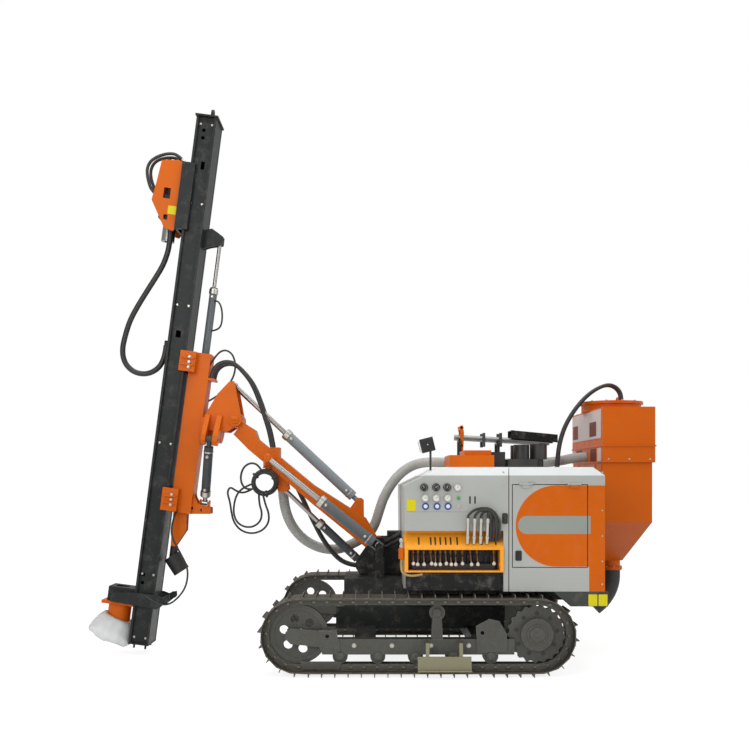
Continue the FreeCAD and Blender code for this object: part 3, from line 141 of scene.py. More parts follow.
def wornSteel(name, hexColour, brightHex, metallic, dirtHex="#4a4234", dirtShare=0.6, roughness=0.55,
              edge=0.006):
    # cast or rolled steel that runs in soil: dark oxide, packed dirt, rubbed bright on its edges
    tree, shader, place, (patch, grit) = startMaterial(name, roughness, metallic,
                                                       [(90, 6, 0.65), (14, 4, 0.7)])
    dirt = addNode(tree, "MapRange", {"Value": patch, 1: 0.42, 2: 0.66, 3: 0.0, 4: dirtShare})
    tone = addNode(tree, "MapRange", {"Value": grit, 1: 0.25, 2: 0.75, 3: 0.7, 4: 1.25})
    sheen = addNode(tree, "MapRange", {"Value": grit, 1: 0.2, 2: 0.8, 3: roughness - 0.12,
                                       4: roughness + 0.2})
    rubbed = addNode(tree, "Math", {0: grit, 1: 1.5}, operation="MULTIPLY")
    worn = addNode(tree, "Math", {0: edgeMask(tree, edge), 1: rubbed}, operation="MULTIPLY")
    colour = layered(tree, toLinear(hexColour), [(dirt, toLinear(dirtHex), "MIX"), (1.0, tone, "MULTIPLY"),
                                                 (worn, toLinear(brightHex), "MIX")])
    setInputs(tree, shader, {"Base Color": colour, "Roughness": sheen,
                             "Normal": roundedNormal(tree, edge * 0.6, grit, 0.5, 0.0015)})


def barSteel(name, hexColour, roughness, stretch=(1, 1, 1), grainMm=2.0, metallic=1.0, bumpShare=0.04):
    # drawn, ground or plated steel: fine lines along the run, even lustre
    tree, shader, place, (grain,) = startMaterial(name, roughness, metallic, [(grainMm, 3, 0.55)], stretch,
                                                  Base_Color=toLinear(hexColour))
    sheen = addNode(tree, "MapRange", {"Value": grain, 1: 0.2, 2: 0.8, 3: max(0.02, roughness - 0.06),
                                       4: roughness + 0.12})
    setInputs(tree, shader, {"Roughness": sheen})
    if bumpShare:
        setInputs(tree, shader, {"Normal": roundedNormal(tree, 0.0015, grain, bumpShare, 0.0004)})


def mouldedBlack(name, hexColour, roughness, grainMm=4.0, bump=0.25):
    # moulded rubber or plastic: near black, a soft wide highlight, a fine grain
    tree, shader, place, (grain, patch) = startMaterial(name, roughness, 0.0,
                                                        [(grainMm, 4, 0.55), (120, 4, 0.55)])
    dusty = addNode(tree, "MapRange", {"Value": patch, 1: 0.4, 2: 0.75, 3: 0.0, 4: 0.22})
    sheen = addNode(tree, "MapRange", {"Value": patch, 1: 0.3, 2: 0.7, 3: roughness - 0.1,
                                       4: roughness + 0.15})
    colour = layered(tree, toLinear(hexColour), [(dusty, toLinear("#6b655c"), "MIX")])
    setInputs(tree, shader, {"Base Color": colour, "Roughness": sheen,
                             "Normal": roundedNormal(tree, 0.002, grain, bump, 0.0006)})


def softPvc(name, roughness, first, second, grains, bump, distance, **values):
    # soft PVC: cloudy patches between two near colours, its wall a little uneven
    tree, shader, place, (patch, uneven) = startMaterial(name, roughness, 0.0, grains, **values)
    setInputs(tree, shader, {"Base Color": layered(tree, toLinear(first), [(patch, toLinear(second),
                                                                            "MIX")]),
                             "Normal": roundedNormal(tree, 0.001, uneven, bump, distance)})


# side panel zones; the near white over the top edge is a painted highlight, not a paint colour
badge = {"orange": "#ce5f00", "bandGrey": "#949a92", "paintedHighlightWhite": "#f4f8f8", "centre": (-1.087, 1.178),
         "radius": 0.319, "bandEnd": (-0.857, 1.186), "bandStart": -1.356, "bandHalf": 0.0707,
         "postX": -1.345, "top": 1.497, "paintedHighlightEdge": 1.575, "paintedHighlightShare": 0.85, "sideY": 0.9935}


def roundEnded(tree, x, z, end, half):
    # 1 in a bar that runs back from its round end: half over the root of max(x - endX, 0)^2 + (z - endZ)^2
    ahead = addNode(tree, "Math", {0: x, 1: end[0]}, operation="SUBTRACT")
    past = addNode(tree, "Math", {0: ahead, 1: 0.0}, operation="MAXIMUM")
    high = addNode(tree, "Math", {0: z, 1: end[1]}, operation="SUBTRACT")
    away = addNode(tree, "CombineXYZ", {0: past, 2: high})
    reach = addNode(tree, "VectorMath", {0: away}, "Value", operation="LENGTH")
    return stepAt(tree, reach, half, 1.0, 0.0)


def sidePanelZones(tree, place, colour):
    # orange half disc carried back to the corner post, with a blank grey band across it; above the roof's
    # edge the grey is mixed towards near white, a painted highlight where the top faces the overhead light
    x, y, z = (addNode(tree, "SeparateXYZ", {0: place}, axis) for axis in range(3))
    side = stepAt(tree, addNode(tree, "Math", {0: y}, operation="ABSOLUTE"), badge["sideY"])
    disc = roundEnded(tree, x, z, badge["centre"], badge["radius"])
    post = addNode(tree, "Math", {0: stepAt(tree, x, badge["postX"], 1.0, 0.0),
                                  1: stepAt(tree, z, badge["top"], 1.0, 0.0)}, operation="MULTIPLY")
    disc = addNode(tree, "Math", {0: disc, 1: post}, operation="MAXIMUM")
    disc = addNode(tree, "Math", {0: disc, 1: side}, operation="MULTIPLY")
    band = addNode(tree, "Math", {0: roundEnded(tree, x, z, badge["bandEnd"], badge["bandHalf"]),
                                  1: stepAt(tree, x, badge["bandStart"])}, operation="MULTIPLY")
    band = addNode(tree, "Math", {0: band, 1: side}, operation="MULTIPLY")
    # painted highlight: near white mixed in above the roof's edge, where the top catches the light
    paintedHighlightMask = stepAt(tree, z, badge["paintedHighlightEdge"], 0.0, badge["paintedHighlightShare"], 0.006)
    return layered(tree, colour, [(disc, toLinear(badge["orange"]), "MIX"),
                                  (band, toLinear(badge["bandGrey"]), "MIX"),
                                  (paintedHighlightMask, toLinear(badge["paintedHighlightWhite"]), "MIX")])


enamel("orangeEnamel", badge["orange"], dust="#a8653a", dustShare=0.16)
enamel("collectorEnamel", "#c85a00", dust="#9a5a34", dustShare=0.22)
enamel("consoleEnamel", "#fba62c", 0.3, dust="#b98a4a", dustShare=0.06)
enamel("greyEnamel", "#afb1ac", 0.34, zones=sidePanelZones, dustShare=0.1)
enamel("mastEnamel", "#272a2a", 0.42, dustShare=0.16)
enamel("blackEnamel", "#1b1c1d", 0.45, dustShare=0.35)
enamel("deckEnamel", "#2a2d2c", 0.45, dustShare=0.3)
# one grey barrel paint in three copies: the mid and dark ones are painted shade, darkened for barrels that
# sit in shade
enamel("barrelEnamel", "#80868a", 0.26, dustShare=0.08)
enamel("midBarrelEnamel", "#62676a", 0.28, dustShare=0.08)
enamel("darkBarrelEnamel", "#45494c", 0.32, dustShare=0.1)
enamel("sillGrey", "#424542", 0.4, dustShare=0.2)
enamel("paleDust", "#c7bab6", 0.5, dust="#a58f86", dustShare=0.35)
enamel("yellowPlate", "#dccd18", 0.4, dustShare=0.05, edge=0.001)
enamel("dialWhite", "#e4e4df", 0.3, dustShare=0.02, edge=0.0005)
enamel("dialBlue", "#2f55a4", 0.3, dustShare=0.02, edge=0.0008)
enamel("knobWhite", "#dcd9d0", 0.3, dustShare=0.1, edge=0.001)
enamel("lampGreen", "#3fae55", 0.2, dustShare=0.0, edge=0.0005)
enamel("beigePanel", "#a39a88", 0.45, dustShare=0.2, edge=0.001)
# orange as it looks in shade: painted shade for the insides of the collector's openings
enamel("redBrown", "#6a2a1c", 0.5, dustShare=0.2, edge=0.001)
wornSteel("trackSteel", "#45413a", "#a39d90", 0.35, "#5e5444")
wornSteel("frameSteel", "#50514c", "#8b877c", 0.15, dirtShare=0.4)
barSteel("zincPlate", "#8c886f", 0.45, grainMm=16.0, metallic=0.7)
barSteel("hardChrome", "#9d9a97", 0.26, grainMm=60.0, bumpShare=0.0)
barSteel("rodSteel", "#8f8f8d", 0.35, (0.1, 1, 1), 4.0)
barSteel("castAlloy", "#8b8c8c", 0.5, grainMm=8.0)
barSteel("boltZinc", "#b9b6ad", 0.35, grainMm=5.0)
barSteel("wornPin", "#77736a", 0.5, grainMm=8.0)
mouldedBlack("hoseRubber", "#161616", 0.42, 3.0, 0.12)
mouldedBlack("elbowRubber", "#1b1a19", 0.6, 6.0)
mouldedBlack("blackPlastic", "#151515", 0.4, 2.0, 0.15)
mouldedBlack("drainRubber", "#a8935a", 0.5)  # tan rubber, made as the black is
softPvc("greySuctionHose", 0.5, "#94958f", "#b3b3ae", [(60, 4, 0.55), (5, 3, 0.55)], 0.1, 0.001,
        Coat_Weight=0.1)
softPvc("clearPvcSkirt", 0.22, "#d9dcdc", "#f4f5f4", [(70, 4, 0.55), (22, 2, 0.55)], 0.25, 0.002,
        Transmission_Weight=0.45, IOR=1.3)

nodeLooks = {
    "orangeEnamel": ["oil_cooler", "boom", "boom_head", "cradle", "dust_hood", "head_guard"],
    "collectorEnamel": ["collector_body", "collector_box"],
    "consoleEnamel": ["lever_console"],
    "greyEnamel": ["control_housing", "engine_housing", "side_door_left", "side_door_right"],
    "mastEnamel": ["mast", "foot_clamp", "carriage", "rotary_head"],
    "blackEnamel": ["boom_base", "swing_bracket", "rod_rack", "boom_swing_knuckle"],
    "deckEnamel": ["chassis_frame"],
    "barrelEnamel": ["tilt_barrel"],
    "midBarrelEnamel": ["boom_swing_barrel", "extension_barrel"],
    "darkBarrelEnamel": ["lift_barrel", "mast_swing_barrel"],
    "trackSteel": ["track_left", "track_right"],
    "frameSteel": ["track_frame_left", "track_frame_right", "sprockets", "idlers", "track_rollers"],
    "zincPlate": ["footstep"],
    "hardChrome": ["lift_rod", "tilt_rod", "boom_swing_rod", "mast_swing_rod", "extension_rod"],
    "rodSteel": ["spare_rods", "spindle"],
    "castAlloy": ["engine_block"],
    "elbowRubber": ["collector_elbow", "dust_elbow"],
    "blackPlastic": ["air_cleaners", "work_lamp", "console_levers"],
}
for finish, names in nodeLooks.items():
    for name in names:
        nodes[name].data.materials.clear()
        nodes[name].data.materials.append(bpy.data.materials[finish])
print("materials made")


def joined(parts):
    # several sets of points and faces as one
    points = np.concatenate([np.asarray(p, float).reshape(-1, 3) for p, _ in parts])
    faces = []
    first = 0
    for own, ownFaces in parts:
        faces += [[first + i for i in face] for face in ownFaces]
        first += len(np.asarray(own).reshape(-1, 3))
    return points, faces


def declare(piece, body, replaced):
    # into the scene, with the body it moves with and the nodes it stands for
    bpy.context.scene.collection.objects.link(piece)
    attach(piece, body)
    if replaced:
        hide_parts(*replaced)


def addPiece(name, parts, finish, body="chassis", replaced=(), bevel=0.0, wall=0.0,
             sharp=35):
    # a mesh of all the parts, its faces turned outwards and its edges sharp past the given angle
    points, faces = joined(parts)
    mesh = bpy.data.meshes.new(name)
    mesh.from_pydata(points.tolist(), [], faces)
    shell = bmesh.new()
    shell.from_mesh(mesh)
    bmesh.ops.recalc_face_normals(shell, faces=shell.faces)
    shell.to_mesh(mesh)
    shell.free()
    mesh.materials.append(bpy.data.materials[finish])
    mesh.shade_smooth()
    mesh.set_sharp_from_angle(angle=math.radians(sharp))
    piece = bpy.data.objects.new(name, mesh)
    if wall:
        piece.modifiers.new("wall", "SOLIDIFY").thickness = wall
    if bevel:
        rounding = piece.modifiers.new("edge", "BEVEL")
        rounding.width = bevel
        rounding.segments = 2
        rounding.limit_method = "ANGLE"
    declare(piece, body, replaced)
    return piece


def plateOn(outline, low, high, origin=(0, 0, 0), across=(1, 0, 0), up=(0, 0, 1)):
    # an outline in the plane of across and up, pushed along their cross product from low to high
    flat = np.asarray(outline, float)
    u, v = np.array(across, float), np.array(up, float)
    normal = np.cross(v, u)
    base = np.array(origin, float) + flat[:, :1] * u + flat[:, 1:] * v
    count = len(flat)
    faces = [list(range(count)), list(range(2 * count - 1, count - 1, -1))]
    faces += [[i, i + count, (i + 1) % count + count, (i + 1) % count] for i in range(count)]
    return np.concatenate([base + normal * low, base + normal * high]), faces


def roundedBox(x0, x1, z0, z1, radius, steps=3):
    # a rectangle whose corners are arcs of the given radius
    turn = np.linspace(0, math.pi / 2, steps + 1)
    outline = []
    for cx, cz, start in ((x1, z1, 0), (x0, z1, 1), (x0, z0, 2), (x1, z0, 3)):
        sx = cx - radius if cx == x1 else cx + radius
        sz = cz - radius if cz == z1 else cz + radius
        angles = turn + start * math.pi / 2
        outline += [(sx + radius * math.cos(a), sz + radius * math.sin(a)) for a in angles]
    return outline


def lathed(profile, centre, axis=(0, 1, 0), around=24, turned=0.0):
    # pairs of distance along the axis and radius, spun round it and closed by a fan at both ends
    axis = np.array(axis, float)
    axis /= np.linalg.norm(axis)
    side = np.cross(axis, (0.0, 0.0, 1.0) if abs(axis[2]) < 0.9 else (1.0, 0.0, 0.0))
    side /= np.linalg.norm(side)
    up = np.cross(axis, side)
    turn = np.linspace(0, 2 * math.pi, around, endpoint=False) + turned
    ring = np.cos(turn)[:, None] * side + np.sin(turn)[:, None] * up
    along = np.array([a for a, _ in profile])
    radii = np.array([r for _, r in profile])
    centre = np.array(centre, float)
    points = centre + along[:, None, None] * axis + radii[:, None, None] * ring
    faces = gridFaces(len(profile), around, True)
    ends = [centre + along[0] * axis, centre + along[-1] * axis]
    return np.concatenate([points.reshape(-1, 3), ends]), faces


def hexBolt(centre, axis, size, turned=0.3):
    # washer and six-sided head of the given half width, with the thread's end left out
    washer = lathed([(0, size * 1.3), (size * 0.22, size * 1.3), (size * 0.22, size * 0.9)],
                    centre, axis, 14)
    head = lathed([(size * 0.1, size), (size * 0.85, size), (size, size * 0.82), (size, size * 0.2)],
                  centre,
                  axis, 6, turned)
    return [washer, head]


def boltsAt(places, size, axis=(0, 1, 0)):
    return [part for place in places for part in hexBolt(place, axis, size)]


def circle(count, radius, start=0.0):
    # pairs of offsets for count places round a circle
    turn = start + np.arange(count) * 2 * math.pi / count
    return np.stack([radius * np.cos(turn), radius * np.sin(turn)], -1).tolist()


def mastParts(parts):
    return [(onMast(points), faces) for points, faces in parts]


def bothSides(parts):
    # the same parts mirrored across the rig's middle plane
    other = [(np.asarray(points) * np.array((1, -1, 1)), faces) for points, faces in parts]
    return parts + other


def gridFaces(rows, columns, capped=False):
    # quads of a grid of points, row by row, joined round; capped by fans to two points that follow the grid
    i, j = np.meshgrid(np.arange(rows - 1), np.arange(columns), indexing="ij")
    a, b = i * columns + j, i * columns + (j + 1) % columns
    faces = np.stack([a, b, b + columns, a + columns], -1).reshape(-1, 4).tolist()
    if capped:
        count, last = rows * columns, (rows - 1) * columns
        faces += [[count, (j + 1) % columns, j] for j in range(columns)]
        faces += [[count + 1, last + j, last + (j + 1) % columns] for j in range(columns)]
    return faces


def framesAlong(line):
    # unit tangents with two crosswise directions that turn as little as they can
    line = np.asarray(line, float)
    tangent = np.gradient(line, axis=0)
    tangent /= np.linalg.norm(tangent, axis=1)[:, None]
    side = np.cross(tangent[0], [0.31, 0.22, 0.92])
    sides = []
    for t in tangent:
        side = side - t * np.dot(side, t)
        side = side / np.linalg.norm(side)
        sides.append(side)
    sides = np.array(sides)
    return tangent, sides, np.cross(tangent, sides)


def sweptTube(line, radii, around=16):
    # a circle of the given radius carried along the line, closed by a fan at both ends
    line = np.asarray(line, float)
    tangent, sides, ups = framesAlong(line)
    turn = np.linspace(0, 2 * math.pi, around, endpoint=False)
    ring = np.cos(turn)[None, :, None] * sides[:, None, :] + np.sin(turn)[None, :, None] * ups[:, None, :]
    radii = np.broadcast_to(np.asarray(radii, float), (len(line),))
    points = line[:, None, :] + ring * radii[:, None, None]
    faces = gridFaces(len(line), around, True)
    return np.concatenate([points.reshape(-1, 3), line[:1], line[-1:]]), faces


# ---- camera, light and floor
cameraSetting = {"place": (0.337, 8.5, 1.555), "focalPixels": 955.0, "imagePixels": 750, "horizonRow": 478}
lampSetting = {
    "overhead": {"place": (0.4, 0.5, 7.5), "size": 7.0, "watts": 300.0, "aim": (0, 0, 0)},
    "front": {"place": (3.5, 8.0, 4.5), "size": 4.0, "watts": 170.0, "aim": (0, 0, 1.2)},
    "side": {"place": (-7.0, 4.0, 4.0), "size": 4.0, "watts": 90.0, "aim": (0, 0, 1.2)},
}
roomSetting = {"sky": 0.62, "floorReach": 60.0, "floorGlow": 0.84}


def seenBy(tree, other):
    # 1 for what the camera sees straight on, or by the other kind of ray
    rays = {k: addNode(tree, "LightPath", {}, kind) for k, kind in enumerate(("Is Camera Ray", other))}
    return addNode(tree, "Math", rays, operation="MAXIMUM")


def makeStage():
    camera = bpy.data.cameras.new("camera")
    camera.sensor_width = 36.0
    camera.lens = 36.0 * cameraSetting["focalPixels"] / cameraSetting["imagePixels"]
    camera.shift_y = cameraSetting["horizonRow"] / cameraSetting["imagePixels"] - 0.5
    holder = bpy.data.objects.new("camera", camera)
    holder.location = cameraSetting["place"]
    holder.rotation_euler = (math.radians(90), 0, math.radians(180))
    bpy.context.scene.collection.objects.link(holder)
    bpy.context.scene.camera = holder
    for name, look in lampSetting.items():
        lamp = bpy.data.lights.new(name, "AREA")
        lamp.shape = "DISK"
        lamp.size = look["size"]
        lamp.energy = look["watts"]
        holder = bpy.data.objects.new(name, lamp)
        holder.location = look["place"]
        towards = Vector(look["aim"]) - Vector(look["place"])
        holder.rotation_euler = towards.to_track_quat("-Z", "Y").to_euler()
        bpy.context.scene.collection.objects.link(holder)
    world = bpy.data.worlds.new("paleRoom")
    bpy.context.scene.world = world
    world.use_nodes = True
    tree = world.node_tree
    sky = addNode(tree, "MapRange", {"Value": seenBy(tree, "Is Transmission Ray"), 3: roomSetting["sky"],
                                     4: 1.0})
    setInputs(tree, tree.nodes["Background"], {"Strength": sky, "Color": (1, 1, 1, 1)})
    reach = roomSetting["floorReach"]
    floor = bpy.data.meshes.new("floor")
    floor.from_pydata([(-reach, -reach, 0), (reach, -reach, 0), (reach, reach, 0), (-reach, reach, 0)], [],
                      [(0, 1, 2, 3)])
    paleFloor = bpy.data.materials.new("paleFloor")
    paleFloor.use_nodes = True
    tree = paleFloor.node_tree
    tree.nodes.remove(tree.nodes["Principled BSDF"])
    # a floor that glows evenly to the camera and takes a faint shadow
    glow = addNode(tree, "Emission", {"Strength": roomSetting["floorGlow"]})
    dim = addNode(tree, "BsdfDiffuse", {"Color": (0.34, 0.34, 0.34, 1)})
    both = addNode(tree, "AddShader", {0: glow, 1: dim})
    plain = addNode(tree, "BsdfDiffuse", {"Color": (0.8, 0.8, 0.8, 1)})
    mix = addNode(tree, "MixShader", {0: seenBy(tree, "Is Glossy Ray"), 1: plain, 2: both})
    setInputs(tree, tree.nodes["Material Output"], {"Surface": mix})
    floor.materials.append(paleFloor)
    ground = bpy.data.objects.new("floor", floor)
    bpy.context.scene.collection.objects.link(ground)
    bpy.context.scene.view_settings.view_transform = "Standard"


makeStage()
print("stage set")

# ---- hoses
mm = 0.001
hoseRoutes = {
    "headHose": {"node": "head_hose", "body": "rotary_carriage", "radius": 24, "mast": True, "points": [
        (205, 90, 3738.5), (201, 89, 3640), (196, 88, 3545), (200, 87, 3450), (228, 85, 3330),
        (280, 82, 3215), (340, 79, 3090), (400, 76, 2960), (455, 72, 2825), (484, 66, 2680),
        (496, 63, 2545), (459, 61, 2433), (364, 59, 2363), (246, 57, 2363), (150, 56, 2433),
        (114, 56, 2545), (116, 56, 2638.6)]},
    "cradleHose": {"node": "cradle_hoses", "body": "cradle", "radius": 19, "beside": [(0, -150, 0)],
                   "points": [
        (1779.6, 75, 2434), (1769.4, 75, 2497.5), (1731.8, 75, 2549.3), (1674.8, 75, 2578.4),
        (1610.8, 75, 2578.4), (1553.8, 75, 2549.3), (1511, 75, 2501.8)]},
    "headBoomHose": {"node": "head_boom_hoses", "body": "boom_head", "radius": 19, "beside": [(0, -150, 0)],
                     "points": [
        (1510.8, 75, 2501.6), (1453.9, 75, 2438.4), (1405, 75, 2352), (1366, 75, 2257), (1330, 75, 2155),
        (1296, 75, 2048), (1265, 75, 1945), (1245, 75, 1828.6)]},
    "drapeHose": {"node": "boom_drape_hoses", "body": "boom", "radius": 20, "beside": [(0, -46, 0)],
                  "points": [
        (1170, -112, 1690), (1110, -130, 1610), (1045, -135, 1480), (970, -135, 1320), (890, -135, 1150),
        (800, -138, 980), (690, -138, 840), (590, -140, 775), (505, -138, 765)]},
    "baseHose": {"node": "base_hoses", "body": "chassis", "radius": 17, "beside": [(0, 0, -46)],
                 "points": [
        (245, 119, 1000), (236, 178, 1005), (207, 227, 1024), (163, 257, 1051), (118.5, 266, 1079)]},
    "collectorHose": {"node": "collector_hoses", "body": "chassis", "radius": 17, "beside": [(0, 44, 0)],
                      "points": [
        (-1337, -300, 1642.5), (-1342, -300, 1760), (-1362, -301, 1885), (-1400, -302, 2010),
        (-1460, -303, 2125), (-1535, -304, 2230), (-1620, -305, 2320), (-1712, -306, 2382),
        (-1790, -306, 2410.6), (-1847.6, -306, 2403.5), (-1895.7, -306, 2371.1), (-1923.8, -306, 2320.4),
        (-1925.8, -306, 2263.1)]},
    "suctionFront": {"node": "suction_front", "body": "boom", "radius": 46, "ribbed": True, "points": [
        (1166, -98, 1452), (1162, -135, 1320), (1115, -195, 1150), (1015, -238, 1010), (880, -259, 925),
        (740, -266, 895), (610, -264, 915), (500, -258, 975)]},
    "suctionRoof": {"node": "suction_roof", "body": "chassis", "radius": 46, "ribbed": True, "points": [
        (499.4, -258, 975.4), (403, -254, 1028), (338, -262, 1125), (300, -273, 1250), (255, -287, 1385),
        (165, -308, 1535), (40, -335, 1652), (-110, -365, 1704), (-300, -390, 1700), (-600, -400, 1694),
        (-950, -405, 1691), (-1250, -410, 1698), (-1400, -414, 1716), (-1515, -419, 1742),
        (-1634.5, -424, 1752)]},
}
suctionLook = {"pitch": 0.014, "depth": 0.003}
coilLook = {"centre": (1.305, 0.12, 1.514), "turns": 9, "ring": 0.1, "spread": 0.02, "hose": 0.0085,
            "straps": (0.9, 3.3, 5.2)}


def splineThrough(name, points):
    # a quadratic NURBS line with the route's points as its control points
    curve = bpy.data.curves.new(name, "CURVE")
    curve.dimensions = "3D"
    spline = curve.splines.new("NURBS")
    spline.points.add(len(points) - 1)
    for point, place in zip(spline.points, points):
        point.co = (*place, 1.0)
    spline.order_u = 3
    spline.use_endpoint_u = True
    curve.resolution_u = 12
    return curve


def lineOf(curve):
    # the spline's own points, read from a curve with no bevel
    holder = bpy.data.objects.new("line", curve)
    mesh = bpy.data.meshes.new_from_object(holder)
    line = np.array([v.co[:] for v in mesh.vertices])
    bpy.data.objects.remove(holder)
    bpy.data.meshes.remove(mesh)
    return line


def lengthOf(line):
    return float(np.linalg.norm(np.diff(line, axis=0), axis=1).sum())


def layCord(name, points, radius, body, node=None, finish="hoseRubber", smooth=4, **manner):
    # a round hose along the route, declared with the body it moves with
    curve = splineThrough(name, points)
    line = lineOf(curve)
    curve.bevel_depth = radius
    curve.bevel_resolution = smooth
    curve.use_fill_caps = True
    curve.materials.append(bpy.data.materials[finish])
    piece = bpy.data.objects.new(name, curve)
    declare(piece, body, node and [node])
    return line


def makeRibbedHose(name, look, points):
    # a tube whose radius dips by a rounded groove at every pitch along the route
    line = lineOf(splineThrough(name, points))
    length = lengthOf(line)
    radius = look["radius"] * mm
    along = np.concatenate([[0], np.cumsum(np.linalg.norm(np.diff(line, axis=0), axis=1))])
    even = np.linspace(0, length, int(length / suctionLook["pitch"]) * 8)
    path = np.stack([np.interp(even, along, line[:, k]) for k in range(3)], -1)
    wave = np.cos(even / suctionLook["pitch"] * 2 * math.pi)
    radii = radius - suctionLook["depth"] * (0.5 - 0.5 * wave) ** 2
    piece = addPiece(name, [sweptTube(path, radii, 20)], "greySuctionHose", look["body"],
                     replaced=[look["node"]], sharp=80)


def makeHoses():
    for name, look in hoseRoutes.items():
        radius = look["radius"] * mm
        for number, shift in enumerate([(0, 0, 0)] + look.get("beside", [])):
            route = (np.array(look["points"], float) + shift) * mm
            if look.get("mast"):
                route = onMast(route)
            if look.get("ribbed"):
                makeRibbedHose(name, look, route)
            else:
                layCord(name + (str(number + 1) if look.get("beside") else ""), route, radius, look["body"],
                        look["node"], smooth=5, stiffness="stiff" if radius > 0.02 else "medium", lay="loose")


def makeCoil():
    # a bundle of turns: each turn's middle steps round the bundle's section by 2.4 rad and drifts outwards
    steps = 14 * coilLook["turns"]
    t = np.linspace(0, coilLook["turns"] * 2 * math.pi, steps)
    turn = t / (2 * math.pi)
    reach = coilLook["spread"] * np.sqrt((turn + 0.3) / coilLook["turns"]) * (1 + 0.12 * np.sin(t * 1.31))
    radius = coilLook["ring"] + reach * np.cos(2.4 * turn) * 0.9
    depth = reach * np.sin(2.4 * turn)
    cx, cy, cz = coilLook["centre"]
    points = np.stack([cx + radius * np.sin(t), cy + depth, cz + radius * np.cos(t)], -1)
    layCord("hoseCoil", points, coilLook["hose"], "boom", "hose_coil", stiffness="medium", lay="coiled")
    straps = []
    for a in coilLook["straps"]:
        middle = (cx + coilLook["ring"] * math.sin(a), cy, cz + coilLook["ring"] * math.cos(a))
        straps.append(lathed([(-0.009, 0.029), (-0.009, 0.0315), (0.009, 0.0315), (0.009, 0.029)], middle,
                             (math.cos(a), 0, -math.sin(a)), 20))
    addPiece("coilStraps", straps, "blackPlastic", "boom", bevel=0.001)


makeHoses()
makeCoil()

thinHoses = {
    "coilLoopOuter": {"body": "boom", "radius": 0.009, "points": [
        (1.318, 0.15, 1.418), (1.296, 0.17, 1.33), (1.262, 0.176, 1.25), (1.262, 0.178, 1.165),
        (1.318, 0.18, 1.095), (1.41, 0.182, 1.068), (1.505, 0.184, 1.095), (1.568, 0.186, 1.17),
        (1.588, 0.186, 1.262), (1.6, 0.186, 1.35), (1.625, 0.184, 1.43), (1.6, 0.18, 1.48),
        (1.545, 0.172, 1.44), (1.48, 0.16, 1.42), (1.418, 0.14, 1.455)]},
    "coilLoopInner": {"body": "boom", "radius": 0.009, "points": [
        (1.352, 0.152, 1.412), (1.345, 0.196, 1.33), (1.318, 0.2, 1.255), (1.33, 0.202, 1.18),
        (1.392, 0.204, 1.13), (1.47, 0.206, 1.128), (1.538, 0.208, 1.17), (1.566, 0.208, 1.25),
        (1.56, 0.208, 1.335), (1.54, 0.2, 1.41), (1.49, 0.18, 1.47), (1.42, 0.15, 1.5)]},
    "coilLoopHigh": {"body": "boom", "radius": 0.009, "points": [
        (1.322, 0.15, 1.608), (1.352, 0.172, 1.668), (1.415, 0.184, 1.69), (1.478, 0.186, 1.655),
        (1.508, 0.186, 1.58), (1.5, 0.184, 1.5), (1.452, 0.176, 1.45), (1.392, 0.16, 1.462)]},
    "footLoop": {"body": "mast", "radius": 0.0085, "points": [
        (2.36, 0.16, 0.54), (2.27, 0.172, 0.47), (2.149, 0.176, 0.442), (2.057, 0.176, 0.503),
        (1.98, 0.176, 0.611), (1.964, 0.176, 0.763), (2.026, 0.174, 0.886), (2.112, 0.17, 1.039),
        (2.112, 0.166, 1.13), (2.095, 0.145, 1.215), (2.074, 0.112, 1.28)]},
    "barrelLoop": {"body": "cradle", "radius": 0.008, "points": [
        (1.768, 0.02, 3.125), (1.735, 0.03, 3.132), (1.7, 0.035, 3.08), (1.688, 0.038, 2.99),
        (1.7, 0.035, 2.9), (1.745, 0.03, 2.865), (1.788, 0.02, 2.862)]},
    "cradleLoop": {"body": "cradle", "radius": 0.0085, "points": [
        (1.8, 0.06, 2.545), (1.742, 0.066, 2.64), (1.672, 0.072, 2.69), (1.6, 0.076, 2.66),
        (1.566, 0.078, 2.57), (1.575, 0.078, 2.47), (1.622, 0.076, 2.38), (1.69, 0.07, 2.31),
        (1.752, 0.064, 2.265), (1.808, 0.058, 2.235)]},
}
for name, look in thinHoses.items():
    layCord(name, look["points"], look["radius"], look["body"], smooth=3, stiffness="medium", lay="hanging")
print("hoses laid")

# ---- undercarriage


def sidePoint(column, row, y=1.0):
    # where the photograph's column and row meet the plane at y
    share = (cameraSetting["place"][1] - y) / cameraSetting["focalPixels"]
    return (cameraSetting["place"][0] + (375 - column) * share, y,
            cameraSetting["place"][2] + (cameraSetting["horizonRow"] - row) * share)


trackLook = {"axle": 0.94, "height": 0.322, "radius": 0.2575, "shoes": 52, "middle": 0.925, "half": 0.055,
             "plateHalf": 0.019, "pinRadius": 0.0125, "proud": 0.004}


def loopPoint(along, radius):
    # racetrack: a straight on top, a half circle round the idler, a straight below and the sprocket's half
    axle, height = trackLook["axle"], trackLook["height"]
    straight, arc = 2 * axle, math.pi * radius
    s = (along % 1.0) * 2 * (straight + arc)
    flip = 1.0
    if s >= straight + arc:
        s -= straight + arc
        flip = -1.0
    if s < straight:
        x, z, tx, tz = -axle + s, radius, 1.0, 0.0
    else:
        a = (s - straight) / radius
        x, z = axle + radius * math.sin(a), radius * math.cos(a)
        tx, tz = math.cos(a), -math.sin(a)
    return flip * x, height + flip * z, flip * tx, flip * tz


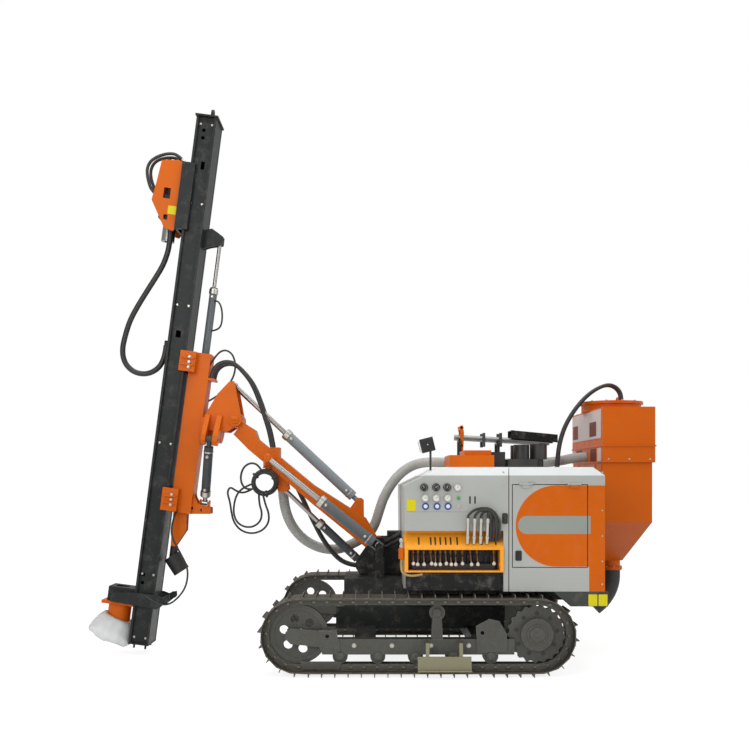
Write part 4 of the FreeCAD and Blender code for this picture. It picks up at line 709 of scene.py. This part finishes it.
def makeTrackLinks():
    look = trackLook
    pitch = 2 * (2 * look["axle"] + math.pi * look["radius"]) / look["shoes"]
    half, tall = pitch * 0.47, look["plateHalf"]
    outline = roundedBox(-half, half, -tall, tall, tall * 0.9)
    waist = [(u, v * (0.72 + 0.28 * min(1.0, abs(u) / (pitch * 0.3)))) for u, v in outline]
    parts = []
    pins = []
    for number in range(look["shoes"]):
        x, z, tx, tz = loopPoint((number + 0.5) / look["shoes"], look["radius"])
        px, pz, _, _ = loopPoint(number / look["shoes"], look["radius"])
        for side in (-1, 1):
            face = look["middle"] + side * look["half"]
            low, high = sorted((face, face + side * look["proud"]))
            points, faces = plateOn(waist, -high, -low, (x, 0, z), (tx, 0, tz), (-tz, 0, tx))
            points[:, 1] = np.where(np.arange(len(points)) < len(waist), high, low)
            parts.append((points, faces))
            profile = [(0, look["pinRadius"]), (side * 0.004, look["pinRadius"]),
                       (side * 0.005, look["pinRadius"] * 0.7)]
            pins.append(lathed(profile, (px, face + side * look["proud"] * 0.9, pz), (0, 1, 0), 12))
    addPiece("trackLinks", bothSides(parts), "frameSteel", bevel=0.001)
    addPiece("trackPins", bothSides(pins), "wornPin")


wheelFace = 0.949


def makeUndercarriage():
    bolts = boltsAt([(x, 0.985, 0.236) for x in (0.502, 0.204, -0.103, -0.401)], 0.014)
    bolts += boltsAt([(0.94 + u, 0.989, 0.322 + v) for u, v in circle(6, 0.045)], 0.007)
    addPiece("frameBolts", bothSides(bolts), "boltZinc")
    # black discs in the idler's holes: painted shade for the dark seen through them
    holes = [lathed([(0, 0.0165), (0.0012, 0.0165), (0.0014, 0.014)], (u - 0.94, wheelFace, v + 0.322))
             for u, v in circle(9, 0.163, 0.2)]
    addPiece("wheelHoleShade", bothSides(holes), "blackPlastic")
    caps = [lathed([(0, 0.034), (0.012, 0.034), (0.018, 0.026), (0.019, 0.011), (0.015, 0.009)],
                   (0.612 - 0.297 * k, 0.985, 0.15)) for k in range(5)]
    caps.append(lathed([(0, 0.036), (0.01, 0.036), (0.016, 0.028), (0.016, 0.012)],
                       (-0.154, 0.969, 0.492)))
    caps.append(lathed([(0, 0.062), (0.006, 0.062), (0.012, 0.055), (0.014, 0.022), (0.022, 0.018)],
                       (-0.94, 1.002, 0.322)))
    addPiece("rollerCaps", bothSides(caps), "frameSteel")
    guards = [plateOn([(0.596, 0.112), (0.926, 0.112), (0.905, 0.047), (0.62, 0.047)], 0.985, 0.993)]
    addPiece("roadGuards", bothSides(guards), "frameSteel", bevel=0.002)


makeTrackLinks()
makeUndercarriage()
print("undercarriage dressed")

# ---- housings
gaugeLook = {
    "dialRadius": 0.031,
    "rows": [(487.3, [(424, "dark"), (436, "dark"), (447, "dark"), (457.5, "pale")]),
             (498.0, [(425, "pale"), (436, "pale"), (447.5, "pale"), (458.6, "lamp")]),
             (506.3, [(425.5, "blue"), (437, "blue"), (448, "blue"), (458.8, "knob")])],
    "dials": {"dark": ("gaugeRingsDark", "gaugeFacesDark", "gaugeFacesPale"),
              "pale": ("gaugeRingsChrome", "gaugeFacesPale", "gaugeFacesDark")},
    "fittings": {"knob": [("panelKnobs", [(0, 0.018), (0.003, 0.018), (0.004, 0.012), (0.016, 0.012),
                                          (0.019, 0.009)])],
                 "blue": [("valveRings", [(0, 0.028), (0.005, 0.028), (0.007, 0.024)]),
                          ("gaugeFacesPale", [(0.005, 0.0155), (0.018, 0.0155), (0.022, 0.011)])],
                 "lamp": [("panelLamp", [(0, 0.014), (0.006, 0.014), (0.012, 0.009), (0.014, 0.003)])]},
    "finishes": {"gaugeRingsDark": "blackPlastic", "gaugeRingsChrome": "boltZinc",
                 "gaugeFacesDark": "blackPlastic", "gaugeFacesPale": "dialWhite",
                 "panelKnobs": "boltZinc", "valveRings": "dialBlue", "panelLamp": "lampGreen"},
}
platesLook = {"tin": 0.0015, "corner": 0.006}


def dialMarks(x, y, z, r, value):
    # eleven strokes over three quarters of a turn and a tapered needle
    marks = []
    for k in range(12):
        a = math.radians(-135 + 27 * (k if k < 11 else value))
        u, v = (math.cos(a), 0, -math.sin(a)), (math.sin(a), 0, math.cos(a))
        stroke = [(-0.0009, r * 0.6), (0.0009, r * 0.6), (0.0009, r * 0.78), (-0.0009, r * 0.78)]
        needle = [(-0.0018, -r * 0.15), (0.0018, -r * 0.15), (0.0005, r * 0.58), (-0.0005, r * 0.58)]
        marks.append(plateOn(stroke if k < 11 else needle, y + 0.013, y + 0.0138, (x, 0, z), u, v))
    return marks


def makeGauges():
    made = {name: [] for name in gaugeLook["finishes"]}
    r = gaugeLook["dialRadius"]
    ring = [(0, r), (0.016, r), (0.019, r * 0.95), (0.018, r * 0.86), (0.012, r * 0.84)]
    for row, items in gaugeLook["rows"]:
        for column, kind in items:
            spot = sidePoint(column, row)
            if kind in gaugeLook["dials"]:
                rings, faces, marks = gaugeLook["dials"][kind]
                made[rings].append(lathed(ring, spot, around=32))
                made[faces].append(lathed([(0.012, r * 0.83), (0.013, r * 0.83)], spot, around=32))
                made[marks] += dialMarks(*spot, r, 2 + int(column) % 5)
            else:
                for name, profile in gaugeLook["fittings"][kind]:
                    made[name].append(lathed(profile, spot))
    for name, finish in gaugeLook["finishes"].items():
        addPiece(name, made[name], finish)


def makePanelPlates():
    x0, _, z1 = sidePoint(415.7, 499.7)
    x1, _, z0 = sidePoint(406.7, 511)
    yellow = [plateOn(roundedBox(x0, x1, z0, z1, platesLook["corner"]), 0.9995, 1.0 + platesLook["tin"])]
    for left, right in ((588.5, 597.4), (598.6, 607.5)):
        x1, _, z1 = sidePoint(left, 594.5)
        x0, _, z0 = sidePoint(right, 606)
        yellow.append(plateOn(roundedBox(x0, x1, z0, z1, platesLook["corner"]), 0.9965, 0.999))
    addPiece("yellowPlates", yellow, "yellowPlate")
    sill = [plateOn([(-1.497, 0.545), (-1.2, 0.545), (-1.062, 0.664), (-1.497, 0.664)], 0.985, 0.997)]
    addPiece("rearSills", bothSides(sill), "sillGrey", bevel=0.002)
    lines = [plateOn([(-0.62, 1.2875), (0.085, 1.2875), (0.085, 1.2915), (-0.62, 1.2915)], 0.9995, 1.0006)]
    addPiece("panelSeam", lines, "beigePanel")
    # black plates in the slots stand for their dark insides: painted shade
    slots = []
    for column in (470, 475):
        x, _, z = sidePoint(column, 500)
        slots.append(plateOn(roundedBox(x - 0.006, x + 0.006, z - 0.03, z + 0.03, 0.005), 0.999, 1.0015))
    rise = np.array((0.0, -0.12, 0.115))
    rise /= np.linalg.norm(rise)
    for column in (419, 431, 435.5, 440.6, 446, 451, 457.5, 482, 496):
        x = sidePoint(column, 540)[0]
        origin = np.array((x, 1.022, 1.000)) + rise * 0.082
        slots.append(plateOn(roundedBox(-0.006, 0.006, -0.042, 0.042, 0.0055), -0.001, 0.0015, origin,
                             (1, 0, 0), rise))
    addPiece("panelSlotShade", slots, "blackPlastic")
    bolts = boltsAt([(x, 1.0, 1.5275) for x in (-0.88, -0.916, -1.118, -1.153)], 0.0075)
    bolts += boltsAt([(-0.672, 1.0, z) for z in (1.3, 1.5, 1.6)], 0.0055)
    bolts += boltsAt([(-1.448, 1.0, z) for z in (0.72, 0.9, 1.1, 1.3, 1.5, 1.6)], 0.0055)
    addPiece("housingBolts", bothSides(bolts), "boltZinc")
    latches = [plateOn(roundedBox(-0.705, -0.661, 1.195, 1.279, 0.01), 1.0, 1.007),
               lathed([(0.007, 0.015), (0.016, 0.014), (0.018, 0.01)], (-0.683, 1.0, 1.245)),
               plateOn(roundedBox(-0.691, -0.675, 1.205, 1.247, 0.006), 1.014, 1.02)]
    addPiece("sideLatches", bothSides(latches), "blackPlastic", bevel=0.001)
    for side, body in ((1, "door_left"), (-1, "door_right")):
        grips = [plateOn(roundedBox(-0.815, -0.765, 0.905, 0.985, 0.01), 0.999, 1.0045),
                 lathed([(0.004, 0.013), (0.012, 0.012), (0.014, 0.008)], (-0.79, 1.0, 0.965)),
                 plateOn(roundedBox(-0.799, -0.781, 0.915, 0.975, 0.007), 1.011, 1.016)]
        grips = [(np.asarray(points) * np.array((1, side, 1)), faces) for points, faces in grips]
        addPiece("doorGrip" + body[5:].capitalize(), grips, "blackPlastic", body, bevel=0.001)


consoleLook = {"columns": (413.5, 418.5, 424, 431, 436, 441, 446, 451, 456.5, 463, 471, 478, 495, 501),
               "back": 0.862, "accumulator": (0.13, 1.000)}


def makeConsole():
    back = [plateOn([(-0.655, 0.832), (0.088, 0.832), (0.088, 0.988), (-0.655, 0.988)],
                    consoleLook["back"] - 0.003, consoleLook["back"])]
    shafts, knobs, bodies = [], [], []
    for number, column in enumerate(consoleLook["columns"]):
        x = sidePoint(column, 560)[0]
        lean = 0.006 * math.sin(number * 1.7)
        top = np.array((x, 0.905, 0.985))
        low = np.array((x + lean, 0.985, 0.878 + 0.004 * math.cos(number * 2.1)))
        axis = low - top
        reach = float(np.linalg.norm(axis))
        shaft = [(0, 0.01), (0.03, 0.01), (0.032, 0.005), (reach - 0.01, 0.005)]
        shafts.append(lathed(shaft, top, axis, 12))
        knobs.append(lathed([(reach - 0.016, 0.006), (reach - 0.01, 0.011), (reach, 0.0145),
                             (reach + 0.01, 0.0125), (reach + 0.015, 0.006)], top, axis, 18))
        bodies.append(plateOn(roundedBox(x - 0.017, x + 0.017, 0.895, 0.985, 0.004), 0.864, 0.9))
    addPiece("consoleBack", back + bodies, "blackPlastic", bevel=0.001)
    addPiece("leverShafts", shafts, "boltZinc")
    addPiece("leverKnobs", knobs, "knobWhite", sharp=70)
    bolts = boltsAt([(x, 1.022, 0.824) for x in (-0.65, -0.45, -0.25, -0.05, 0.085)], 0.0045)
    addPiece("consoleBolts", bolts, "boltZinc")
    # accumulator with its fitting and drain hose at the console's front, black apron plate under the tray
    x, y = consoleLook["accumulator"]
    bottle = [lathed([(0, 0.01), (0.004, 0.022), (0.085, 0.022), (0.092, 0.012)], (x, y, 0.915),
                     (0, 0, 1)),
              plateOn([(x - 0.024, 0.94), (x + 0.004, 0.94), (x + 0.004, 0.96), (x - 0.024, 0.96)],
                      y - 0.006, y + 0.006)]
    addPiece("consoleAccumulator", bottle, "orangeEnamel", bevel=0.001)
    fitting = [lathed([(0.09, 0.011), (0.094, 0.016), (0.112, 0.016), (0.116, 0.011), (0.135, 0.011),
                       (0.138, 0.017), (0.16, 0.017), (0.166, 0.009)], (x, y, 0.915), (0, 0, 1), 12)]
    addPiece("accumulatorFitting", fitting, "boltZinc")
    route = [(x, y, 0.918), (x + 0.002, y + 0.002, 0.87), (x - 0.004, y + 0.01, 0.815),
             (x - 0.045, y + 0.018, 0.79), (x - 0.11, y + 0.018, 0.788), (x - 0.165, y + 0.01, 0.8)]
    layCord("drainHose", route, 0.01, "chassis", finish="drainRubber", stiffness="stiff", lay="loose")
    apron = [plateOn(roundedBox(-0.652, 0.096, 0.672, 0.808, 0.006), 0.999, 1.0035)]
    apron += [plateOn(roundedBox(left, left + 0.165, 0.69, 0.79, 0.01), 1.0035, 1.0065)
              for left in (-0.625, -0.44, -0.255, -0.07)]
    addPiece("consoleApron", apron, "blackEnamel", bevel=0.001)


jumperLook = {"starts": (467.5, 474.0, 480.5, 487.0), "ends": (499.0, 496.0, 493.0, 490.0),
              "radius": 0.0105,
              "foot": (0.99, 1.04), "top": (1.045, 1.235), "rise": (0.048, 0.036, 0.025, 0.015)}


def makeJumpers():
    # steel-sleeved hose ends standing on the console's cover, each looping over and back down behind
    look = jumperLook
    sleeves = []
    for number, (start, stop) in enumerate(zip(look["starts"], look["ends"])):
        x = sidePoint(start, 520)[0]
        far = sidePoint(stop, 520)[0]
        aside = 0.012 * (number % 2)
        foot = np.array((x, look["foot"][0], look["foot"][1]))
        top = np.array((x, look["top"][0] + aside, look["top"][1]))
        over = top[2] + 0.036 + look["rise"][number]
        route = [foot, (foot + top) / 2, top, top + (0, 0.006, 0.03),
                 (0.75 * x + 0.25 * far, top[1] + 0.008, over),
                 (0.25 * x + 0.75 * far, top[1] + 0.006, over), (far, top[1], top[2] - 0.01),
                 (far, 1.03, 1.15), (far, 0.99, 1.06)]
        layCord("jumperHose" + str(number), route, look["radius"], "chassis", stiffness="stiff",
                lay="loose")
        reach = float(np.linalg.norm(top - foot))
        sleeves.append(lathed([(0, 0.014), (0.045, 0.014), (0.047, 0.0185), (0.064, 0.0185),
                               (0.066, 0.0135),
                               (reach - 0.03, 0.0135), (reach - 0.028, 0.0165), (reach + 0.004, 0.0165),
                               (reach + 0.008, 0.0115)], foot, top - foot, 16))
    addPiece("jumperSleeves", sleeves, "boltZinc")


makeGauges()
makePanelPlates()
makeConsole()
makeJumpers()
print("housings dressed")

# ---- cylinders: gland ring, port and hose stub of each barrel
cylinderLook = {
    "tilt": {"foot": (0.479, 0, 1.341), "eye": (1.592, 0, 2.38), "radius": 0.045, "end": 0.9,
             "body": "tilt_barrel"},
    "lift": {"foot": (0.44, 0, 0.785), "eye": (1.165, 0, 1.475), "radius": 0.037, "end": 0.555,
             "body": "lift_barrel"},
    "boomSwing": {"foot": (0.3, 0.33, 0.96), "eye": (1.267, 0.235, 1.729),
                  "radius": 0.047, "end": 0.66,
                  "body": "boom_swing_barrel"},
    "extension": {"foot": (-0.228, 0, 2.25), "eye": (-0.228, 0, 3.625), "radius": 0.034, "end": 0.95,
                  "body": "cradle", "mast": True},
    "mastSwing": {"foot": (-0.397, 0.21, 1.865), "eye": (-0.394, 0, 1.299), "radius": 0.04, "end": 0.54,
                  "body": "mast_swing_barrel", "mast": True},
}


def makeCylinderFittings():
    for name, look in cylinderLook.items():
        foot, eye = np.array(look["foot"]), np.array(look["eye"])
        if look.get("mast"):
            foot, eye = onMast(foot), onMast(eye)
        axis = (eye - foot) / np.linalg.norm(eye - foot)
        r, end = look["radius"], look["end"]
        rings = [lathed([(end - 0.052, r + 0.0005), (end - 0.05, r + 0.006), (end - 0.008, r + 0.006),
                         (end - 0.004, r + 0.003), (end - 0.003, r * 0.98)], foot, axis, 32),
                 lathed([(0.11, r + 0.0005), (0.112, r + 0.003), (0.122, r + 0.003), (0.124, r + 0.0005)],
                        foot, axis, 32)]
        out = np.array((0.0, 1.0, 0.0)) - axis * axis[1]
        out /= np.linalg.norm(out)
        for along in (0.15, end - 0.08):
            base = foot + axis * along + out * (r - 0.003)
            rings.append(lathed([(0, 0.015), (0.016, 0.015), (0.018, 0.011), (0.03, 0.011),
                                 (0.032, 0.008)],
                                base, out, 6))
        addPiece(name + "Fittings", rings, "boltZinc", look["body"])


def makePinEnds():
    for name, place, finish, body in (("pinEndBoom", (0.3, 0.127, 0.96), "boltZinc", "swing_bracket"),
                                      ("pinEndBoomhead", (1.565, 0.145, 2.067), "orangeEnamel",
                                       "boom_head")):
        x, y, z = place
        parts = [lathed([(0, 0.036), (0.008, 0.036), (0.01, 0.03)], place)]
        parts += boltsAt([(x + 0.012, y + 0.01, z), (x - 0.014, y + 0.01, z)], 0.008)
        addPiece(name, bothSides(parts), finish, body)
    cap = lathed([(-0.05, 0.0365), (0.003, 0.0365), (0.005, 0.03), (0.009, 0.026), (0.01, 0.012)],
                 (1.267, 0.257, 1.729), (0.0, 1.0, 0.0), 28)
    addPiece("swingEyePaint", [cap], "orangeEnamel", "boom_swing_rod")


makeCylinderFittings()
makePinEnds()
print("cylinders dressed")

# ---- mast, head and foot
headHoseLook = {"radius": 0.014, "offsets": (0.02, 0.062)}


def makeHeadLoops():
    fittings = []
    for number, y in enumerate(headHoseLook["offsets"]):
        grow = 0.022 * number
        route = [(0.165, y, 4.262), (0.225, y, 4.305 + grow), (0.33, y + 0.004, 4.3 + grow),
                 (0.425 + grow, y + 0.008, 4.255), (0.462 + grow, y + 0.01, 4.175),
                 (0.445 + grow, y + 0.008, 4.08), (0.392 + grow, y + 0.004, 3.985 - grow),
                 (0.3, y, 3.925 - grow)]
        line = layCord("headLoop" + str(number + 1), onMast(np.array(route)), headHoseLook["radius"],
                       "rotary_carriage", stiffness="medium", lay="loose")
        for place, ahead in ((line[0], line[1] - line[0]), (line[-1], line[-2] - line[-1])):
            fittings.append(lathed([(-0.012, 0.02), (0.016, 0.02), (0.018, 0.0165), (0.034, 0.0165)],
                                   place, ahead, 6))
    addPiece("headFittings", fittings, "boltZinc", "rotary_carriage")


def makeMastDetails():
    bolts = []
    for side in (1, -1):
        heights = [low + up for low in (1.255, 2.465) for up in (0, 0.045, 0.09)]
        bolts += boltsAt([onMast((-0.13, side * 0.191, z)) for z in heights], 0.01, (0, side, 0))
    addPiece("guideBolts", bolts, "boltZinc", "cradle")
    plate = [plateOn(roundedBox(0.163, 0.236, 3.775, 3.848, 0.005), 0.14, 0.1416)]
    addPiece("guardPlate", mastParts(plate), "yellowPlate", "rotary_carriage")
    caps = []
    for side in (1, -1):
        places = [(x, side * 0.12, z) for x in (-0.05, 0.05) for z in (0.06, 0.62, 1.78, 3.0, 3.9, 4.6)]
        caps += boltsAt([onMast(place) for place in places], 0.008, (0, side, 0))
    addPiece("mastBolts", caps, "boltZinc", "mast")


skirtLook = {"top": (0.235, 0.0, 0.205), "low": (0.297, 0.0, 0.012),
             "topRadius": 0.1135, "lowRadius": 0.214,
             "folds": 11, "foldDepth": 0.005, "bulge": 0.5, "hem": 0.12, "rows": 30, "columns": 204,
             "mastFace": 0.0965}


def makeSkirt():
    # a cone between two circles; its radius swings with the angle by folds that deepen towards the hem
    look = skirtLook
    top, low = np.array(look["top"]), np.array(look["low"])
    axis = (low - top) / np.linalg.norm(low - top)
    side = np.array((0.0, 1.0, 0.0))
    front = np.cross(side, axis)
    v = np.linspace(0, 1, look["rows"])[:, None]
    a = np.linspace(0, 2 * math.pi, look["columns"], endpoint=False)[None, :]
    wave = np.cos(look["folds"] * a + 1.3 * np.sin(2 * a)) + 0.5 * np.cos(7 * a + 1.1) * v
    radius = look["topRadius"] + (look["lowRadius"] - look["topRadius"]) * v ** look["bulge"]
    radius = radius * (1 - look["hem"] * np.clip((v - 0.75) / 0.25, 0, 1) ** 2)
    radius = radius + look["foldDepth"] * v ** 0.8 * wave
    along = np.linalg.norm(low - top) * v + 0.006 * v * np.cos(5 * a + 0.6)
    points = (top + along[..., None] * axis + (radius * np.cos(a))[..., None] * side
              + (radius * np.sin(a))[..., None] * front)
    points[..., 0] = np.maximum(points[..., 0], look["mastFace"] + 0.002 * np.cos(9 * a) * v)
    part = (onMast(points).reshape(-1, 3), gridFaces(look["rows"], look["columns"]))
    addPiece("dustSkirt", [part], "clearPvcSkirt", "mast", replaced=["dust_skirt"], wall=0.0025, sharp=80)
    band = [lathed([(0.004, look["topRadius"] + 0.001), (0.005, look["topRadius"] + 0.004),
                    (0.021, look["topRadius"] + 0.006), (0.022, look["topRadius"] + 0.002)], top, axis, 48)]
    band = [(np.stack([np.maximum(p[:, 0], look["mastFace"]), p[:, 1], p[:, 2]], -1), f) for p, f in band]
    addPiece("skirtBand", mastParts(band), "boltZinc", "mast")


makeHeadLoops()
makeMastDetails()
makeSkirt()
print("mast dressed")

# ---- dust collector and roof
rackLook = {"x": (-0.96, -1.4), "y": (-0.835, -0.575), "z": (2.004, 1.962), "tall": 0.07}


def faceX(outline, x, proud):
    # a flat piece on a face that looks forward, its outline given in y and z
    return plateOn(outline, -x, -x - proud, (0, 0, 0), (0, 1, 0), (0, 0, 1))


def makeCollectorDetails():
    bolts = boltsAt([(x, 0.212, 1.72) for x in (-2.05, -1.87, -1.69)], 0.006)
    rim = [(-1.874 + u, -0.45 + v, 2.262) for u, v in circle(12, 0.27, 0.13)]
    flange = [(-1.88 + u, -0.45 + v, 0.73) for u, v in circle(8, 0.087)]
    bolts += boltsAt(rim, 0.009, (0, 0, 1)) + boltsAt(flange, 0.007, (0, 0, 1))
    addPiece("collectorBolts", bolts, "boltZinc")
    panels = [faceX(roundedBox(-1.03, 0.15, 1.905, 2.16, 0.012), -1.64, 0.004),
              faceX(roundedBox(-1.03, -0.905, 1.7, 1.822, 0.008), -1.64, 0.004),
              faceX(roundedBox(0.02, 0.15, 1.7, 1.822, 0.008), -1.64, 0.004)]
    addPiece("collectorPanels", panels, "paleDust", bevel=0.0015)
    # plates over the openings in shaded red-brown: painted shade for their dark insides
    openings = [faceX(roundedBox(y - 0.11, y + 0.11, 1.705, 1.818, 0.01), -1.64, 0.003)
                for y in (-0.74, -0.15)]
    openings += [faceX(roundedBox(-1.0, -0.78, 1.93, 2.06, 0.01), -1.636, 0.002),
                 faceX(roundedBox(-0.28, -0.02, 1.93, 2.06, 0.01), -1.636, 0.002)]
    addPiece("collectorOpeningShade", openings, "redBrown")
    ribs = [plateOn([(-1.648, 1.2), (-1.638, 1.2), (-1.638, 1.68), (-1.648, 1.68)], y, y + 0.008)
            for y in (-1.02, -0.8, -0.08, 0.15)]
    addPiece("collectorRibs", ribs, "collectorEnamel", bevel=0.001)


def makeRoofDetails():
    x0, x1 = rackLook["x"]
    y0, y1 = rackLook["y"]
    z0, z1 = rackLook["z"]
    outline = [(x0, z0), (x1, z1), (x1, z1 - rackLook["tall"]), (x0, z0 - rackLook["tall"])]
    cover = [plateOn(outline, y1 - 0.008, y1), plateOn(outline, y0, y0 + 0.008),
             plateOn([(x0, z0), (x1, z1), (x1, z1 + 0.006), (x0, z0 + 0.006)], y0, y1)]
    for k in range(4):
        share = 0.12 + 0.25 * k
        x, z = x0 + (x1 - x0) * share, z0 + (z1 - z0) * share - 0.03
        cover.append(lathed([(0, 0.011), (0.008, 0.011), (0.01, 0.008)], (x, y1, z), around=6))
    addPiece("rodCover", cover, "blackEnamel", bevel=0.001)
    lug = [(-0.505, 1.8), (-0.478, 1.8), (-0.478, 1.99), (-0.468, 2.05), (-0.5, 2.06), (-0.512, 1.99)]
    ends = [plateOn(lug, y, y + 0.01) for y in (-0.805, -0.615)]
    ends.append(lathed([(0, 0.02), (0.2, 0.02), (0.205, 0.014)], (-0.489, -0.81, 2.035), around=18))
    ends.append(lathed([(0, 0.016), (0.2, 0.016), (0.205, 0.012)], (-0.491, -0.81, 1.865), around=18))
    addPiece("rodEndBracket", ends, "orangeEnamel", bevel=0.001)
    clamps = [plateOn([(x - 0.014, 1.852), (x + 0.014, 1.852), (x + 0.014, 1.985), (x - 0.014, 1.985)],
                      y, y + 0.012) for x in (-0.7, -0.86) for y in (-0.812, -0.606)]
    addPiece("rodClamps", clamps, "darkBarrelEnamel", bevel=0.002)
    knob = [lathed([(-0.006, 0.001), (-0.006, 0.006), (0.006, 0.006), (0.006, 0.001)],
                   (-0.095, 0.655, 1.83))]
    lens = [plateOn(roundedBox(-0.045, 0.045, -0.045, 0.045, 0.012), 0.0, 0.006, (-0.033, 0.6, 1.812),
                    (0, -1, 0), (0.242, 0, 0.97))]
    addPiece("lampLens", lens, "dialWhite", bevel=0.001)
    addPiece("lampKnob", knob, "boltZinc")


makeRoofDetails()
makeCollectorDetails()
print("collector dressed")
